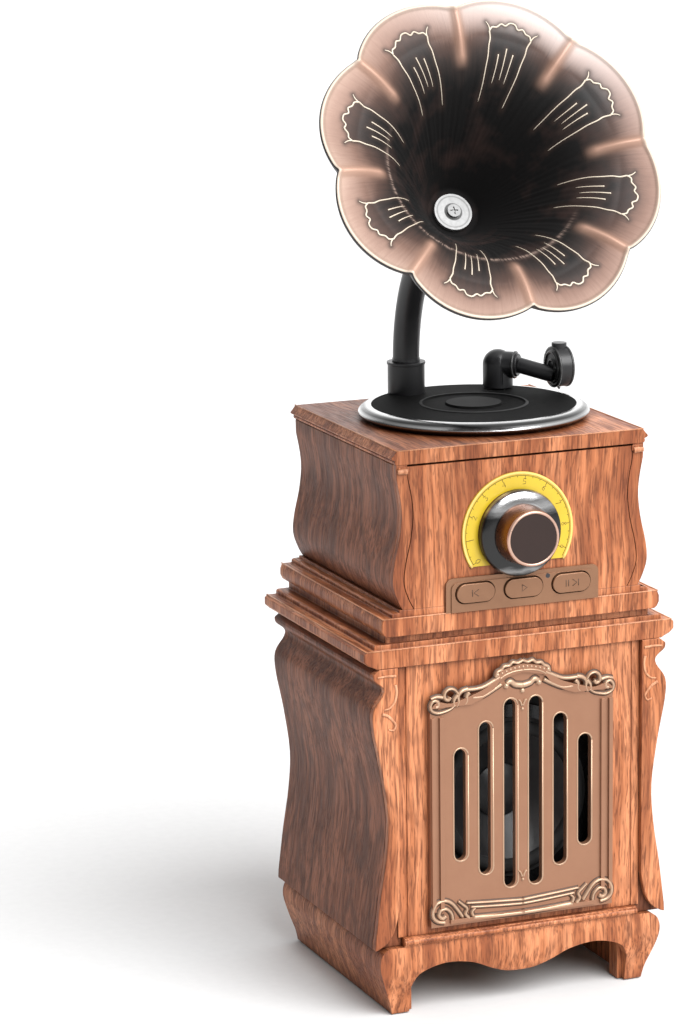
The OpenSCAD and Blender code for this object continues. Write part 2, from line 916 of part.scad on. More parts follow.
module horn_bell() {
    color(copper)
        at_throat()
            intersection() {
                rotate_extrude()
                    polygon(concat(bell_line, [for (p = flip(bell_line))
                        [p[0] + 0.6 * bell_t, p[1] - bell_t]], [[0, -bell_t], [0, 0]]));
                translate([0, 0, -2 * bell_t])
                    linear_extrude(horn_depth + 4 * bell_t)
                        petal_outline();
            }
}

// Eight petals; a joint between two petals points almost straight up.
module petal_outline() {
    petals = 8;
    circle(r = lobe_c);
    for (i = [0:petals - 1])
        rotate((i + 0.5) * 360 / petals + 2.8)
            translate([lobe_c, 0])
                circle(r = horn_tip_r - lobe_c);
}

module throat_washer() {
    color(steel)
        at_throat()
            difference() {
                cylinder(r = 5.7, h = 1.2);
                translate([0, 0, -over])
                    cylinder(r = 1.3, h = 4);
            }
}

module throat_screw() {
    head_r = 2;
    color(steel)
        at_throat()
            difference() {
                union() {
                    cylinder(r = 1.3, h = 1.2);
                    translate([0, 0, 1.2])
                        cylinder(r = head_r, h = 1);
                }
                translate([0, 0, 2.2])
                    for (a = [0, 90])
                        rotate(a)
                            cube([2.4, 0.5, 0.9], center = true);
            }
}

// ---- tonearm ----

// Moves its children to the post's axis at the housing's height, turned along the arm.
module along_arm() {
    translate([arm_x, arm_y, arm_z])
        rotate([0, 90, arm_yaw])
            children();
}

module arm_pivot() {
    color(steel)
        translate([arm_x, arm_y, lid_top])
            cylinder(r = pivot_r, h = pivot_top - lid_top);
}

// Turning post with a horizontal housing for the arm.
module arm_post() {
    post_low = record_top + 0.4;
    color(black)
        difference() {
            union() {
                translate([arm_x, arm_y, post_low])
                    cylinder(r = arm_r, h = arm_z - post_low);
                translate([arm_x, arm_y, arm_z])
                    sphere(r = arm_r);
                along_arm() {
                    cylinder(r = 4, h = housing_l - 1);
                    cylinder(r = 3.5, h = housing_l);
                }
            }
            translate([arm_x, arm_y, post_low - over])
                cylinder(r = pivot_r + running, h = pivot_top + 0.4 - post_low + over);
        }
}

// Tube from the housing down to the soundbox.
module arm_tube() {
    reach = 18.2 - housing_l;
    drop = 13;
    tube_r = 2.4;
    color(black)
        difference() {
            translate([arm_x, arm_y, arm_z])
                rotate([0, 0, arm_yaw])
                    translate([housing_l, 0, 0])
                        rotate([0, 90 + drop, 0])
                            cylinder(r = tube_r, h = reach);
            arm_post();
            soundbox();
        }
}

module soundbox() {
    knob_h = 1.3;
    color(black)
        difference() {
            union() {
                translate([box_x - box_t / 2, box_y, arm_z])
                    rotate([0, 90, 0])
                        cylinder(r = box_r, h = box_t);
                translate([box_x, box_y, arm_z])
                    cylinder(r = 2.3, h = box_r + knob_h);
            }
            needle();
        }
}

// Stylus in its holder under the soundbox.
module needle() {
    low = record_top + 0.4;
    color(steel)
        translate([box_x, box_y, 0]) {
            translate([0, 0, low])
                cylinder(r1 = 0.2, r2 = 0.6, h = 0.6);
            translate([0, 0, low + 0.6])
                cylinder(r = 0.6, h = 3);
        }
}

plinth();
foot_pads();
bottom_board();
bead_moulding();
side_wall_left();
side_wall_right();
pilaster_left();
pilaster_right();
lower_front_panel();
lower_back_panel();
back_cleats();
back_screws();
baffle_board();
lower_moulding();
upper_moulding();
upper_wall_left();
upper_wall_right();
corner_post_left();
corner_post_right();
upper_front_panel();
upper_back_panel();
lid();
grille_plate();
driver_basket();
driver_surround();
driver_cone();
driver_dust_cap();
driver_magnet();
dial_scale();
encoder();
knob_shaft();
knob_skirt();
knob_barrel();
knob_face();
button_panel();
key_previous();
key_play();
key_next();
key_board();
key_switches();
led();
port_plate();
main_board();
charging_inlet();
audio_jack();
power_switch();
power_slider();
battery();
platter();
record();
horn_collar();
gooseneck();
horn_bell();
throat_washer();
throat_screw();
arm_pivot();
arm_post();
arm_tube();
soundbox();
needle();
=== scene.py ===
from math import cos, pi, radians, sin

import bpy
import numpy as np
from mathutils import Matrix, Vector


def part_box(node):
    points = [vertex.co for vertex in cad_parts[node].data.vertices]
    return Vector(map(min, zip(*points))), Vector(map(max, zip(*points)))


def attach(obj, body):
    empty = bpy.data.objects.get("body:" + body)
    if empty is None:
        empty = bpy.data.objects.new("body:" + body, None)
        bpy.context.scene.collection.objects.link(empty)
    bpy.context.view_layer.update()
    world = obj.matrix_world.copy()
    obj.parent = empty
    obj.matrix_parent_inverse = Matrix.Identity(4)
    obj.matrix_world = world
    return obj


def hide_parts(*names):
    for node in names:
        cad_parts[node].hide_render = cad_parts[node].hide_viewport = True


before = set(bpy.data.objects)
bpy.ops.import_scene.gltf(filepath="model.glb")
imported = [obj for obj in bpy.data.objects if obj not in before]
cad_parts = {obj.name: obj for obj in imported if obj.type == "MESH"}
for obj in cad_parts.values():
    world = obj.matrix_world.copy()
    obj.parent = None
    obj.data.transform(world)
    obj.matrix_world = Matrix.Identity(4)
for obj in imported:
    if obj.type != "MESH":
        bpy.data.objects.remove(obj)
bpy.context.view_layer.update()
MM = 0.001


# ---------------- places taken from the CAD

def centre(node):
    """Middle of a CAD node's box."""
    low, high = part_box(node)
    return (low + high) / 2


def size(node):
    """Length of each side of a CAD node's box."""
    low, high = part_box(node)
    return high - low


floor_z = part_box("foot_pads")[0].z
grille_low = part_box("grille_plate")[0]
knob = centre("knob_barrel")
disc = centre("record")


# ---------------- mesh helpers

def new_object(name, verts, faces, body, material):
    """A mesh object made from points in metres, riding on a body of the frame."""
    mesh = bpy.data.meshes.new(name)
    mesh.from_pydata([tuple(v) for v in verts], [], [tuple(f) for f in faces])
    mesh.validate()
    mesh.polygons.foreach_set("use_smooth", [True] * len(mesh.polygons))
    obj = bpy.data.objects.new(name, mesh)
    bpy.context.scene.collection.objects.link(obj)
    obj.data.materials.append(material)
    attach(obj, body)
    return obj


def add_modifier(obj, kind, **settings):
    """Adds a modifier with the given settings."""
    mod = obj.modifiers.new(kind.title(), kind)
    for key, value in settings.items():
        setattr(mod, key, value)


def spline(points, steps=6):
    """Catmull-Rom curve through the points, as an array."""
    p = np.array(points, float)
    n = len(p)
    out = []
    for i in range(n - 1):
        a, b, c, d = p[max(i - 1, 0)], p[i], p[i + 1], p[min(i + 2, n - 1)]
        for j in range(steps):
            t = j / steps
            out.append(0.5 * (2 * b + (c - a) * t + (2 * a - 5 * b + 4 * c - d) * t * t
                              + (3 * b - a - 3 * c + d) * t ** 3))
    out.append(p[-1])
    return np.array(out)


class Pile:
    """Collects several small shapes into one mesh."""

    def __init__(self):
        self.verts = []
        self.faces = []

    def add(self, verts, faces):
        base = len(self.verts)
        self.verts += [tuple(v) for v in verts]
        self.faces += [tuple(base + i for i in f) for f in faces]

    def bar(self, path, normals, width, height, sides=8):
        """A rounded bar along path. width and height are half sizes, one or one per point."""
        path = np.array(path, float)
        n = len(path)
        normals = np.broadcast_to(np.array(normals, float), (n, 3))
        width = np.broadcast_to(np.array(width, float), (n,))
        height = np.broadcast_to(np.array(height, float), (n,))
        tangent = np.gradient(path, axis=0)
        side = np.cross(tangent, normals)
        side /= np.linalg.norm(side, axis=1)[:, None] + 1e-12
        verts = []
        for i in range(n):
            for k in range(sides):
                a = 2 * pi * k / sides
                verts.append(path[i] + side[i] * width[i] * cos(a) + normals[i] * height[i] * sin(a))
        faces = []
        for i in range(n - 1):
            for k in range(sides):
                m = (k + 1) % sides
                faces.append((i * sides + k, i * sides + m, (i + 1) * sides + m, (i + 1) * sides + k))
        faces.append(tuple(range(sides - 1, -1, -1)))
        faces.append(tuple((n - 1) * sides + k for k in range(sides)))
        self.add(verts, faces)

    def object(self, name, body, material):
        return new_object(name, self.verts, self.faces, body, material)


def lathe(profile, origin, axis, up, segments=64):
    """Points and faces of a solid of revolution: profile is (radius, height) pairs along axis."""
    axis = Vector(axis).normalized()
    u = Vector(up).normalized()
    v = axis.cross(u)
    verts, rings = [], []
    for r, h in profile:
        if r < 1e-7:
            rings.append([len(verts)])
            verts.append(Vector(origin) + axis * h)
            continue
        rings.append(list(range(len(verts), len(verts) + segments)))
        for k in range(segments):
            a = 2 * pi * k / segments
            verts.append(Vector(origin) + axis * h + (u * cos(a) + v * sin(a)) * r)
    faces = []
    for a, b in zip(rings, rings[1:]):
        for k in range(segments):
            m = (k + 1) % segments
            if len(a) == 1 and len(b) > 1:
                faces.append((a[0], b[k], b[m]))
            elif len(b) == 1 and len(a) > 1:
                faces.append((a[k], b[0], a[m]))
            elif len(a) > 1:
                faces.append((a[k], b[k], b[m], a[m]))
    return verts, faces


# ---------------- material helpers

class Shade:
    """One material: a Principled shader and short calls that add nodes in front of it."""

    def __init__(self, name, **settings):
        self.mat = bpy.data.materials.new(name)
        self.mat.use_nodes = True
        self.tree = self.mat.node_tree
        self.shader = self.tree.nodes["Principled BSDF"]
        self.coords = self.node("ShaderNodeTexCoord").outputs["Object"]
        self.set(**settings)

    def set(self, **settings):
        for key, value in settings.items():
            self.plug(self.shader.inputs[key.replace("_", " ")], value)

    def plug(self, socket, value):
        if isinstance(value, bpy.types.NodeSocket):
            self.tree.links.new(value, socket)
        else:
            socket.default_value = value

    def node(self, kind, **settings):
        n = self.tree.nodes.new(kind)
        for key, value in settings.items():
            setattr(n, key, value)
        return n

    def math(self, operation, a, b=0.0):
        n = self.node("ShaderNodeMath", operation=operation)
        self.plug(n.inputs[0], a)
        self.plug(n.inputs[1], b)
        return n.outputs[0]

    def add(self, a, b):
        return self.math("ADD", a, b)

    def times(self, a, b):
        return self.math("MULTIPLY", a, b)

    def vector_math(self, operation, a, b):
        n = self.node("ShaderNodeVectorMath", operation=operation)
        self.plug(n.inputs[0], a)
        self.plug(n.inputs[1], b)
        return n.outputs[0]

    def scaled(self, x, y, z, coords=None):
        return self.vector_math("MULTIPLY", self.coords if coords is None else coords, (x, y, z))

    def shifted(self, x, y, z, coords=None):
        return self.vector_math("ADD", self.coords if coords is None else coords, (x, y, z))

    def part(self, axis, vector):
        """One of the three numbers of a vector."""
        n = self.node("ShaderNodeSeparateXYZ")
        self.plug(n.inputs[0], vector)
        return n.outputs[axis]

    def joined(self, x, y, z):
        """A vector from three numbers."""
        n = self.node("ShaderNodeCombineXYZ")
        for socket, value in zip(n.inputs, (x, y, z)):
            self.plug(socket, value)
        return n.outputs[0]

    def noise_node(self, coords, scale, detail):
        n = self.node("ShaderNodeTexNoise")
        self.plug(n.inputs["Vector"], coords)
        n.inputs["Scale"].default_value = scale
        n.inputs["Detail"].default_value = detail
        return n

    def noise(self, coords, scale=1.0, detail=3.0, rough=0.5):
        n = self.noise_node(coords, scale, detail)
        n.inputs["Roughness"].default_value = rough
        return n.outputs["Fac"]

    def wander(self, coords, scale, reach):
        """The coordinates, each moved by up to half of reach by a slow noise."""
        n = self.noise_node(coords, scale, 1.5)
        centred = self.vector_math("SUBTRACT", n.outputs["Color"], (0.5, 0.5, 0.5))
        sway = self.node("ShaderNodeVectorMath", operation="SCALE")
        self.plug(sway.inputs[0], centred)
        sway.inputs["Scale"].default_value = reach
        return self.vector_math("ADD", coords, sway.outputs[0])

    def ramp(self, factor, stops):
        """stops are (position, colour or grey value) pairs."""
        n = self.node("ShaderNodeValToRGB")
        self.plug(n.inputs[0], factor)
        elements = n.color_ramp.elements
        while len(elements) < len(stops):
            elements.new(0.5)
        for e, (position, value) in zip(elements, stops):
            e.position = position
            e.color = value if isinstance(value, tuple) else (value, value, value, 1)
        return n.outputs[0]

    def mix(self, factor, a, b, blend="MIX"):
        n = self.node("ShaderNodeMix", data_type="RGBA", blend_type=blend)
        self.plug(n.inputs[0], factor)
        self.plug(n.inputs[6], a)
        self.plug(n.inputs[7], b)
        return n.outputs[2]

    def mix_vector(self, factor, a, b):
        n = self.node("ShaderNodeMix", data_type="VECTOR")
        self.plug(n.inputs[0], factor)
        self.plug(n.inputs[4], a)
        self.plug(n.inputs[5], b)
        return n.outputs[1]

    def attribute(self, name):
        return self.node("ShaderNodeAttribute", attribute_name=name).outputs["Fac"]

    def lying(self):
        """1 on faces that look up or down, 0 on upright faces."""
        normal = self.node("ShaderNodeNewGeometry").outputs["Normal"]
        return self.math("GREATER_THAN", self.math("ABSOLUTE", self.part("Z", normal)), 0.7)

    def distance(self, x, y, z, use=(1, 1, 1)):
        """Distance from an axis or point; use is 0 along the axis."""
        n = self.node("ShaderNodeVectorMath", operation="LENGTH")
        self.plug(n.inputs[0], self.scaled(*use, coords=self.shifted(-x, -y, -z)))
        return n.outputs["Value"]

    def bump(self, height, strength, distance):
        """Roughens the surface; distance is in metres."""
        n = self.node("ShaderNodeBump")
        n.inputs["Strength"].default_value = strength
        n.inputs["Distance"].default_value = distance
        self.plug(n.inputs["Height"], height)
        self.set(Normal=n.outputs[0])


# ---------------- materials

YEAR_RINGS = 13     # contour lines over the full swing of the slow noise


def wood(name, dark, mid, light, streak, flow=1.0, arches=0.25, gloss=0.3):
    """Lacquered wood: bands and contours of tone, short dark pores, and painted shade in the hollows and
    creases from an ambient occlusion node.
    The grain stands upright on upright faces and runs front to back on lying ones."""
    s = Shade(name, Specular_IOR_Level=gloss)
    upright = s.joined(s.part("X", s.coords), s.part("Z", s.coords), s.part("Y", s.coords))
    p = s.mix_vector(s.lying(), s.coords, upright)
    q = s.wander(p, 22 * flow, 0.006)
    clouds = s.noise(s.scaled(1, 1, 0.35, coords=p), 26 * flow, 2)
    bands = s.noise(s.scaled(260, 260, 14, coords=q), 1.0, 4, 0.6)
    fine = s.noise(s.scaled(1300, 1300, 75, coords=q), 1.0, 3, 0.55)
    pores = s.noise(s.scaled(1900, 1900, 190, coords=q), 1.0, 2, 0.5)
    slow = s.noise(s.scaled(38, 38, 8, coords=p), 1.0, 1.5, 0.4)
    tone = s.add(s.times(bands, 0.62), s.times(clouds, 0.38))
    colour = s.ramp(tone, [(0.42, dark), (0.5, mid), (0.58, light)])
    colour = s.mix(s.ramp(fine, [(0.36, 0.6), (0.52, 0.0)]), colour, streak)
    rings = s.math("SINE", s.times(s.add(slow, s.times(fine, 0.03)), 2 * pi * YEAR_RINGS))
    rings = s.ramp(rings, [(0.0, 0.0), (0.55, 0.25), (1.0, 1.0)])
    colour = s.mix(s.times(rings, arches), colour, streak)
    pore = s.ramp(pores, [(0.36, 1.0), (0.45, 0.0)])
    colour = s.mix(s.times(pore, 0.6), colour, streak)
    # painted shade: an ambient occlusion node darkens the wood's colour in hollows and creases
    ao_recess_shade = s.node("ShaderNodeAmbientOcclusion", samples=6)
    ao_recess_shade.inputs["Distance"].default_value = 4 * MM
    painted_recess_shade = s.ramp(ao_recess_shade.outputs["AO"], [(0.25, 0.75), (0.75, 0.0)])
    s.set(Base_Color=s.mix(painted_recess_shade, colour, streak), Roughness=s.ramp(fine, [(0.3, 0.55), (0.7, 0.36)]))
    s.bump(s.add(s.times(pore, -0.7), s.times(fine, 0.3)), 0.35, 0.2 * MM)
    return s.mat


WOOD = wood("lacquered_wood", (0.27, 0.080, 0.030, 1), (0.45, 0.155, 0.062, 1),
            (0.60, 0.235, 0.108, 1), (0.10, 0.026, 0.010, 1))
# painted shade: the side walls take a darker copy of the front's wood tone, as if out of the lamp's light;
# their wider arched grain is their own
SHADED_SIDE_WOOD = wood("side_wood_with_painted_shade", (0.145, 0.046, 0.021, 1), (0.225, 0.074, 0.034, 1),
                 (0.305, 0.110, 0.056, 1), (0.060, 0.020, 0.010, 1), flow=1.6, arches=0.5, gloss=0.18)
RAW_WOOD = wood("raw_board", (0.16, 0.085, 0.05, 1), (0.24, 0.14, 0.085, 1), (0.32, 0.19, 0.12, 1),
                (0.09, 0.05, 0.03, 1))


def grained(name, colour, second, roughness=0.4, scale=900, amount=0.5, bump=0.12, **settings):
    """A moulded or painted surface: faint mottling, uneven gloss and a fine skin."""
    s = Shade(name, **settings)
    cloud = s.noise(s.coords, scale / 9, 4, 0.6)
    skin = s.noise(s.coords, scale * 2, 3, 0.6)
    patches = s.times(s.ramp(cloud, [(0.35, 0.0), (0.65, 1.0)]), amount)
    s.set(Base_Color=s.mix(patches, colour, second))
    s.set(Roughness=s.ramp(cloud, [(0.3, roughness * 0.85), (0.7, min(1, roughness * 1.2))]))
    s.bump(skin, bump, 0.1 * MM)
    return s.mat


BLACK = grained("black_satin_enamel", (0.012, 0.012, 0.013, 1), (0.020, 0.020, 0.021, 1), 0.34,
                Specular_IOR_Level=0.45)
RUBBER = grained("black_rubber", (0.015, 0.015, 0.015, 1), (0.03, 0.03, 0.03, 1), 0.8, bump=0.3)
DARK_BOARD = grained("black_painted_board", (0.008, 0.008, 0.008, 1), (0.015, 0.014, 0.013, 1), 0.6)
CONE = grained("coated_paper_cone", (0.012, 0.012, 0.013, 1), (0.03, 0.03, 0.03, 1), 0.35, scale=1500,
               bump=0.3)
BASKET = grained("black_painted_steel", (0.012, 0.012, 0.013, 1), (0.03, 0.03, 0.03, 1), 0.25,
                 Metallic=0.4)
STEEL = grained("plated_steel", (0.55, 0.55, 0.56, 1), (0.40, 0.40, 0.41, 1), 0.28, Metallic=1.0)
PORT_PLASTIC = grained("black_port_plate", (0.02, 0.02, 0.02, 1), (0.03, 0.03, 0.03, 1), 0.5, bump=0.4)
BOARD = grained("green_circuit_board", (0.015, 0.10, 0.035, 1), (0.02, 0.14, 0.05, 1), 0.35)
CELL = grained("blue_cell_sleeve", (0.03, 0.10, 0.33, 1), (0.04, 0.13, 0.40, 1), 0.3)
LAMP = grained("unlit_lamp", (0.02, 0.02, 0.025, 1), (0.03, 0.03, 0.035, 1), 0.15)
YELLOW = grained("printed_yellow_dial", (0.60, 0.42, 0.020, 1), (0.53, 0.35, 0.014, 1), 0.38, bump=0.05,
                 Coat_Weight=0.3, Coat_Roughness=0.2)
BRONZE = grained("bronze_paint", (0.27, 0.135, 0.072, 1), (0.20, 0.095, 0.05, 1), 0.36, Metallic=0.55,
                 Coat_Weight=0.2, Coat_Roughness=0.3)
COPPER = grained("antique_copper_paint", (0.32, 0.158, 0.092, 1), (0.28, 0.134, 0.076, 1), 0.38,
                 Metallic=0.5, Coat_Weight=0.15, Coat_Roughness=0.3)
BARREL = grained("copper_plated_barrel", (0.24, 0.095, 0.045, 1), (0.16, 0.062, 0.032, 1), 0.26,
                 Metallic=0.8)
FACE = grained("dark_knob_face", (0.030, 0.016, 0.013, 1), (0.022, 0.012, 0.010, 1), 0.4,
               Metallic=0.4)
KNOB_RIM = grained("bright_copper_rim", (0.62, 0.40, 0.31, 1), (0.52, 0.33, 0.25, 1), 0.3,
                   Metallic=0.7)
HORN_BACK = grained("black_horn_back", (0.015, 0.013, 0.013, 1), (0.03, 0.022, 0.02, 1), 0.4)


def turned_washer():
    """Satin metal disc: a dark line round the screw and another near the rim."""
    s = Shade("turned_aluminium", Metallic=0.3, Roughness=0.5)
    middle = centre("throat_washer")
    d = s.distance(middle.x, middle.y, middle.z)
    lines = s.math("SINE", s.times(d, 2 * pi / (0.35 * MM)))
    metal = s.ramp(s.noise(s.coords, 900, 3), [(0.3, 0.27), (0.7, 0.34)])
    rings = s.ramp(s.math("DIVIDE", d, size("throat_washer").x / 2),
                   [(0.36, 0.0), (0.39, 1.0), (0.47, 1.0), (0.51, 0.0), (0.80, 0.0), (0.84, 0.5),
                    (0.88, 0.5), (0.91, 0.0)])
    s.set(Base_Color=s.mix(rings, metal, (0.05, 0.05, 0.05, 1)))
    s.bump(lines, 0.15, 0.05 * MM)
    return s.mat


WASHER = turned_washer()
SCREW = grained("dull_screw", (0.20, 0.20, 0.20, 1), (0.12, 0.12, 0.12, 1), 0.4, Metallic=0.4)


def vinyl():
    """Matt black disc with fine turned grooves, a painted highlight ring and a paler middle."""
    s = Shade("black_vinyl", Roughness=0.7, Specular_IOR_Level=0.04)
    d = s.distance(disc.x, disc.y, 0, use=(1, 1, 0))
    wave = s.math("SINE", s.times(d, 2 * pi / (0.6 * MM)))
    dust = s.noise(s.coords, 400, 3)
    black = s.ramp(dust, [(0.3, 0.005), (0.7, 0.008)])
    # painted highlight: a paler ring 16 mm from the middle
    ring = s.math("LESS_THAN", s.math("ABSOLUTE", s.math("SUBTRACT", d, 16 * MM)), 0.45 * MM)
    middle = s.math("LESS_THAN", d, 8.3 * MM)
    colour = s.mix(middle, s.mix(ring, black, (0.05, 0.05, 0.05, 1)), (0.035, 0.035, 0.035, 1))
    s.set(Base_Color=colour)
    s.bump(wave, 0.12, 0.1 * MM)
    return s.mat


def plated_skirt():
    """The knob's dark plated skirt, with painted reflections: brighter bands along its upper and lower
    side.
    """
    s = Shade("dark_skirt_painted_reflections", Metallic=0.9)
    reach = size("knob_skirt").z / 2
    level = s.math("DIVIDE", s.part("Z", s.shifted(0, 0, reach - knob.z)), 2 * reach)
    streaks = s.noise(s.scaled(200, 200, 900), 1.0, 3)
    level = s.add(level, s.times(s.math("SUBTRACT", streaks, 0.5), 0.12))
    # painted reflections: bands of brighter colour by height, wobbled by the streaks
    painted_reflection_band = s.ramp(level, [(0.02, 0.05), (0.07, 0.30), (0.14, 0.05), (0.70, 0.04), (0.80, 0.42),
                          (0.88, 0.20), (0.94, 0.55), (0.99, 0.10)])
    s.set(Base_Color=painted_reflection_band, Roughness=s.ramp(streaks, [(0.3, 0.16), (0.7, 0.24)]))
    s.bump(streaks, 0.06, 0.05 * MM)
    return s.mat


SKIRT = plated_skirt()


def plated_rim():
    """The disc's plated rim, with painted reflections and shade in bands by height: a black foot, a bright
    band, a dark line and a bright top edge.
    """
    s = Shade("disc_rim_painted_reflections", Metallic=1.0)
    low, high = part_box("platter")
    level = s.math("DIVIDE", s.part("Z", s.shifted(0, 0, -low.z)), high.z - low.z)
    wear = s.noise(s.coords, 500, 3)
    # painted reflections and shade: colour bands by height on the rim
    painted_reflection_band = s.ramp(level, [(0.28, 0.015), (0.42, 0.30), (0.60, 0.55), (0.70, 0.30), (0.78, 0.06),
                          (0.90, 0.10), (0.97, 0.50)])
    s.set(Base_Color=painted_reflection_band, Roughness=s.ramp(wear, [(0.3, 0.18), (0.7, 0.26)]))
    s.bump(wear, 0.05, 0.05 * MM)
    return s.mat


BLACK_RECORD = vinyl()
RIM = plated_rim()

FINISH = {
    WOOD: "plinth bead_moulding pilaster_left pilaster_right lower_front_panel lower_back_panel "
          "lower_moulding upper_moulding corner_post_left corner_post_right upper_front_panel "
          "upper_back_panel lid",
    SHADED_SIDE_WOOD: "side_wall_left side_wall_right upper_wall_left upper_wall_right",
    RAW_WOOD: "bottom_board back_cleats",
    RUBBER: "foot_pads driver_surround",
    DARK_BOARD: "baffle_board",
    CONE: "driver_cone driver_dust_cap",
    BASKET: "driver_basket",
    STEEL: "back_screws driver_magnet encoder knob_shaft charging_inlet power_switch arm_pivot needle",
    SCREW: "throat_screw",
    COPPER: "grille_plate",
    YELLOW: "dial_scale",
    SKIRT: "knob_skirt",
    BARREL: "knob_barrel",
    FACE: "knob_face",
    BRONZE: "button_panel key_previous key_play key_next",
    BOARD: "key_board main_board",
    PORT_PLASTIC: "key_switches port_plate audio_jack power_slider",
    LAMP: "led",
    CELL: "battery",
    RIM: "platter",
    BLACK_RECORD: "record",
    BLACK: "horn_collar gooseneck arm_post arm_tube soundbox",
    HORN_BACK: "horn_bell",
    WASHER: "throat_washer",
}


# ---------------- CAD pieces get their finish

def soften(obj, width, segments=3):
    """Rounds the sharp edges of a CAD piece with modifiers; its own points stay as they are."""
    with bpy.context.temp_override(object=obj, active_object=obj, selected_objects=[obj]):
        bpy.ops.mesh.customdata_custom_splitnormals_clear()
    obj.data.polygons.foreach_set("use_smooth", [True] * len(obj.data.polygons))
    add_modifier(obj, "WELD", merge_threshold=0.00001)
    add_modifier(obj, "DECIMATE", decimate_type="DISSOLVE", angle_limit=radians(0.6))
    add_modifier(obj, "BEVEL", width=width, segments=segments, limit_method="ANGLE",
                 angle_limit=radians(32), harden_normals=True, use_clamp_overlap=True)


ROUNDED = {
    0.45: "plinth side_wall_left side_wall_right pilaster_left pilaster_right lower_moulding "
          "upper_moulding upper_wall_left upper_wall_right lid",
    0.25: "lower_front_panel lower_back_panel upper_back_panel bead_moulding "
          "button_panel key_previous key_play key_next grille_plate",
    0.15: "port_plate bottom_board horn_collar upper_front_panel corner_post_left corner_post_right",
    0.5: "arm_post arm_tube soundbox",
}

for material, names in FINISH.items():
    for name in names.split():
        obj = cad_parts[name]
        obj.data.materials.clear()
        obj.data.materials.append(material)

for width, names in ROUNDED.items():
    for name in names.split():
        soften(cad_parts[name], width * MM)


# ---------------- camera, light and floor

VIEW_AZIMUTH = radians(-21.85)
VIEW_ELEVATION = radians(12.31)
VIEW_ROLL = radians(-0.72)
VIEW_DISTANCE = 1.1508
VIEW_TARGET = Vector((-0.0449, 0, 0.1456))
VIEW_LENS = 136.35                    # focal length in millimetres on a 36 mm frame
VIEW_SHIFT = (0.0098, 0.0011)         # frame moved right and up, in parts of its longer side

KEY_DIRECTION = (0.26, -0.80, 0.80)   # where the big soft lamp stands
KEY_ENERGY = 4.7
KEY_ANGLE = radians(50)               # how wide the lamp looks from the object
WORLD_DARK = 0.05                     # light from the left and below
WORLD_BRIGHT = 1.1                    # light from the right and above
BACKDROP = 1.7                        # bright wall behind the object, seen in its glossy tops


def add_camera():
    away = Vector((sin(VIEW_AZIMUTH) * cos(VIEW_ELEVATION), -cos(VIEW_AZIMUTH) * cos(VIEW_ELEVATION),
                   sin(VIEW_ELEVATION)))
    right = Vector((cos(VIEW_AZIMUTH), sin(VIEW_AZIMUTH), 0))
    up = away.cross(right)
    tilted_right = right * cos(VIEW_ROLL) + up * sin(VIEW_ROLL)
    tilted_up = up * cos(VIEW_ROLL) - right * sin(VIEW_ROLL)
    data = bpy.data.cameras.new("camera")
    data.sensor_width = 36
    data.lens = VIEW_LENS
    data.shift_x, data.shift_y = VIEW_SHIFT
    data.clip_start = 0.05
    cam = bpy.data.objects.new("camera", data)
    bpy.context.scene.collection.objects.link(cam)
    cam.matrix_world = Matrix.Translation(VIEW_TARGET + away * VIEW_DISTANCE) @ Matrix(
        (tilted_right, tilted_up, away)).transposed().to_4x4()
    bpy.context.scene.camera = cam


def add_key_lamp():
    """The big soft lamp in front, to the right and above."""
    data = bpy.data.lights.new("key", "SUN")
    data.energy = KEY_ENERGY
    data.angle = KEY_ANGLE
    lamp = bpy.data.objects.new("key", data)
    bpy.context.scene.collection.objects.link(lamp)
    lamp.rotation_mode = "QUATERNION"
    lamp.rotation_quaternion = Vector(KEY_DIRECTION).normalized().to_track_quat("Z", "Y")
    lamp.location = Vector((0, 0, 0.15))


def world_glow(tree, direction, start, full, dark, bright):
    """World light that grows from dark to bright towards a direction."""
    toward = tree.nodes.new("ShaderNodeVectorMath")
    toward.operation = "DOT_PRODUCT"
    toward.inputs[1].default_value = Vector(direction).normalized()
    way = tree.nodes.new("ShaderNodeTexCoord").outputs["Generated"]
    tree.links.new(way, toward.inputs[0])
    glow = tree.nodes.new("ShaderNodeMapRange")
    glow.inputs["From Min"].default_value = start
    glow.inputs["From Max"].default_value = full
    glow.inputs["To Min"].default_value = dark
    glow.inputs["To Max"].default_value = bright
    tree.links.new(toward.outputs["Value"], glow.inputs["Value"])
    return glow.outputs[0]


def add_world():
    world = bpy.data.worlds.new("studio")
    world.use_nodes = True
    tree = world.node_tree
    background = tree.nodes["Background"]
    background.inputs[0].default_value = (1, 1, 1, 1)
    side = world_glow(tree, (0.55, -0.30, 0.78), -0.2, 0.95, WORLD_DARK, WORLD_BRIGHT)
    wall = world_glow(tree, (0.37, 0.90, 0.20), 0.55, 0.95, 0, BACKDROP)
    both = tree.nodes.new("ShaderNodeMath")
    both.operation = "MAXIMUM"
    tree.links.new(side, both.inputs[0])
    tree.links.new(wall, both.inputs[1])
    tree.links.new(both.outputs[0], background.inputs[1])
    bpy.context.scene.world = world


def add_floor():
    """Pale grey paper, 8 metres square."""
    step = 4
    mesh = bpy.data.meshes.new("floor")
    mesh.from_pydata([(-step, -step, floor_z), (step, -step, floor_z), (step, step, floor_z),
                      (-step, step, floor_z)], [], [(0, 1, 2, 3)])
    floor = bpy.data.objects.new("floor", mesh)
    bpy.context.scene.collection.objects.link(floor)
    paper = Shade("floor_paper", Roughness=0.9)
    grain = paper.noise(paper.coords, 300, 3)
    paper.set(Base_Color=paper.ramp(grain, [(0.3, 0.65), (0.7, 0.67)]))
    mesh.materials.append(paper.mat)


bpy.context.scene.view_settings.view_transform = "Standard"
bpy.context.scene.view_settings.look = "None"
add_camera()
add_world()
add_key_lamp()
add_floor()


# ---------------- horn

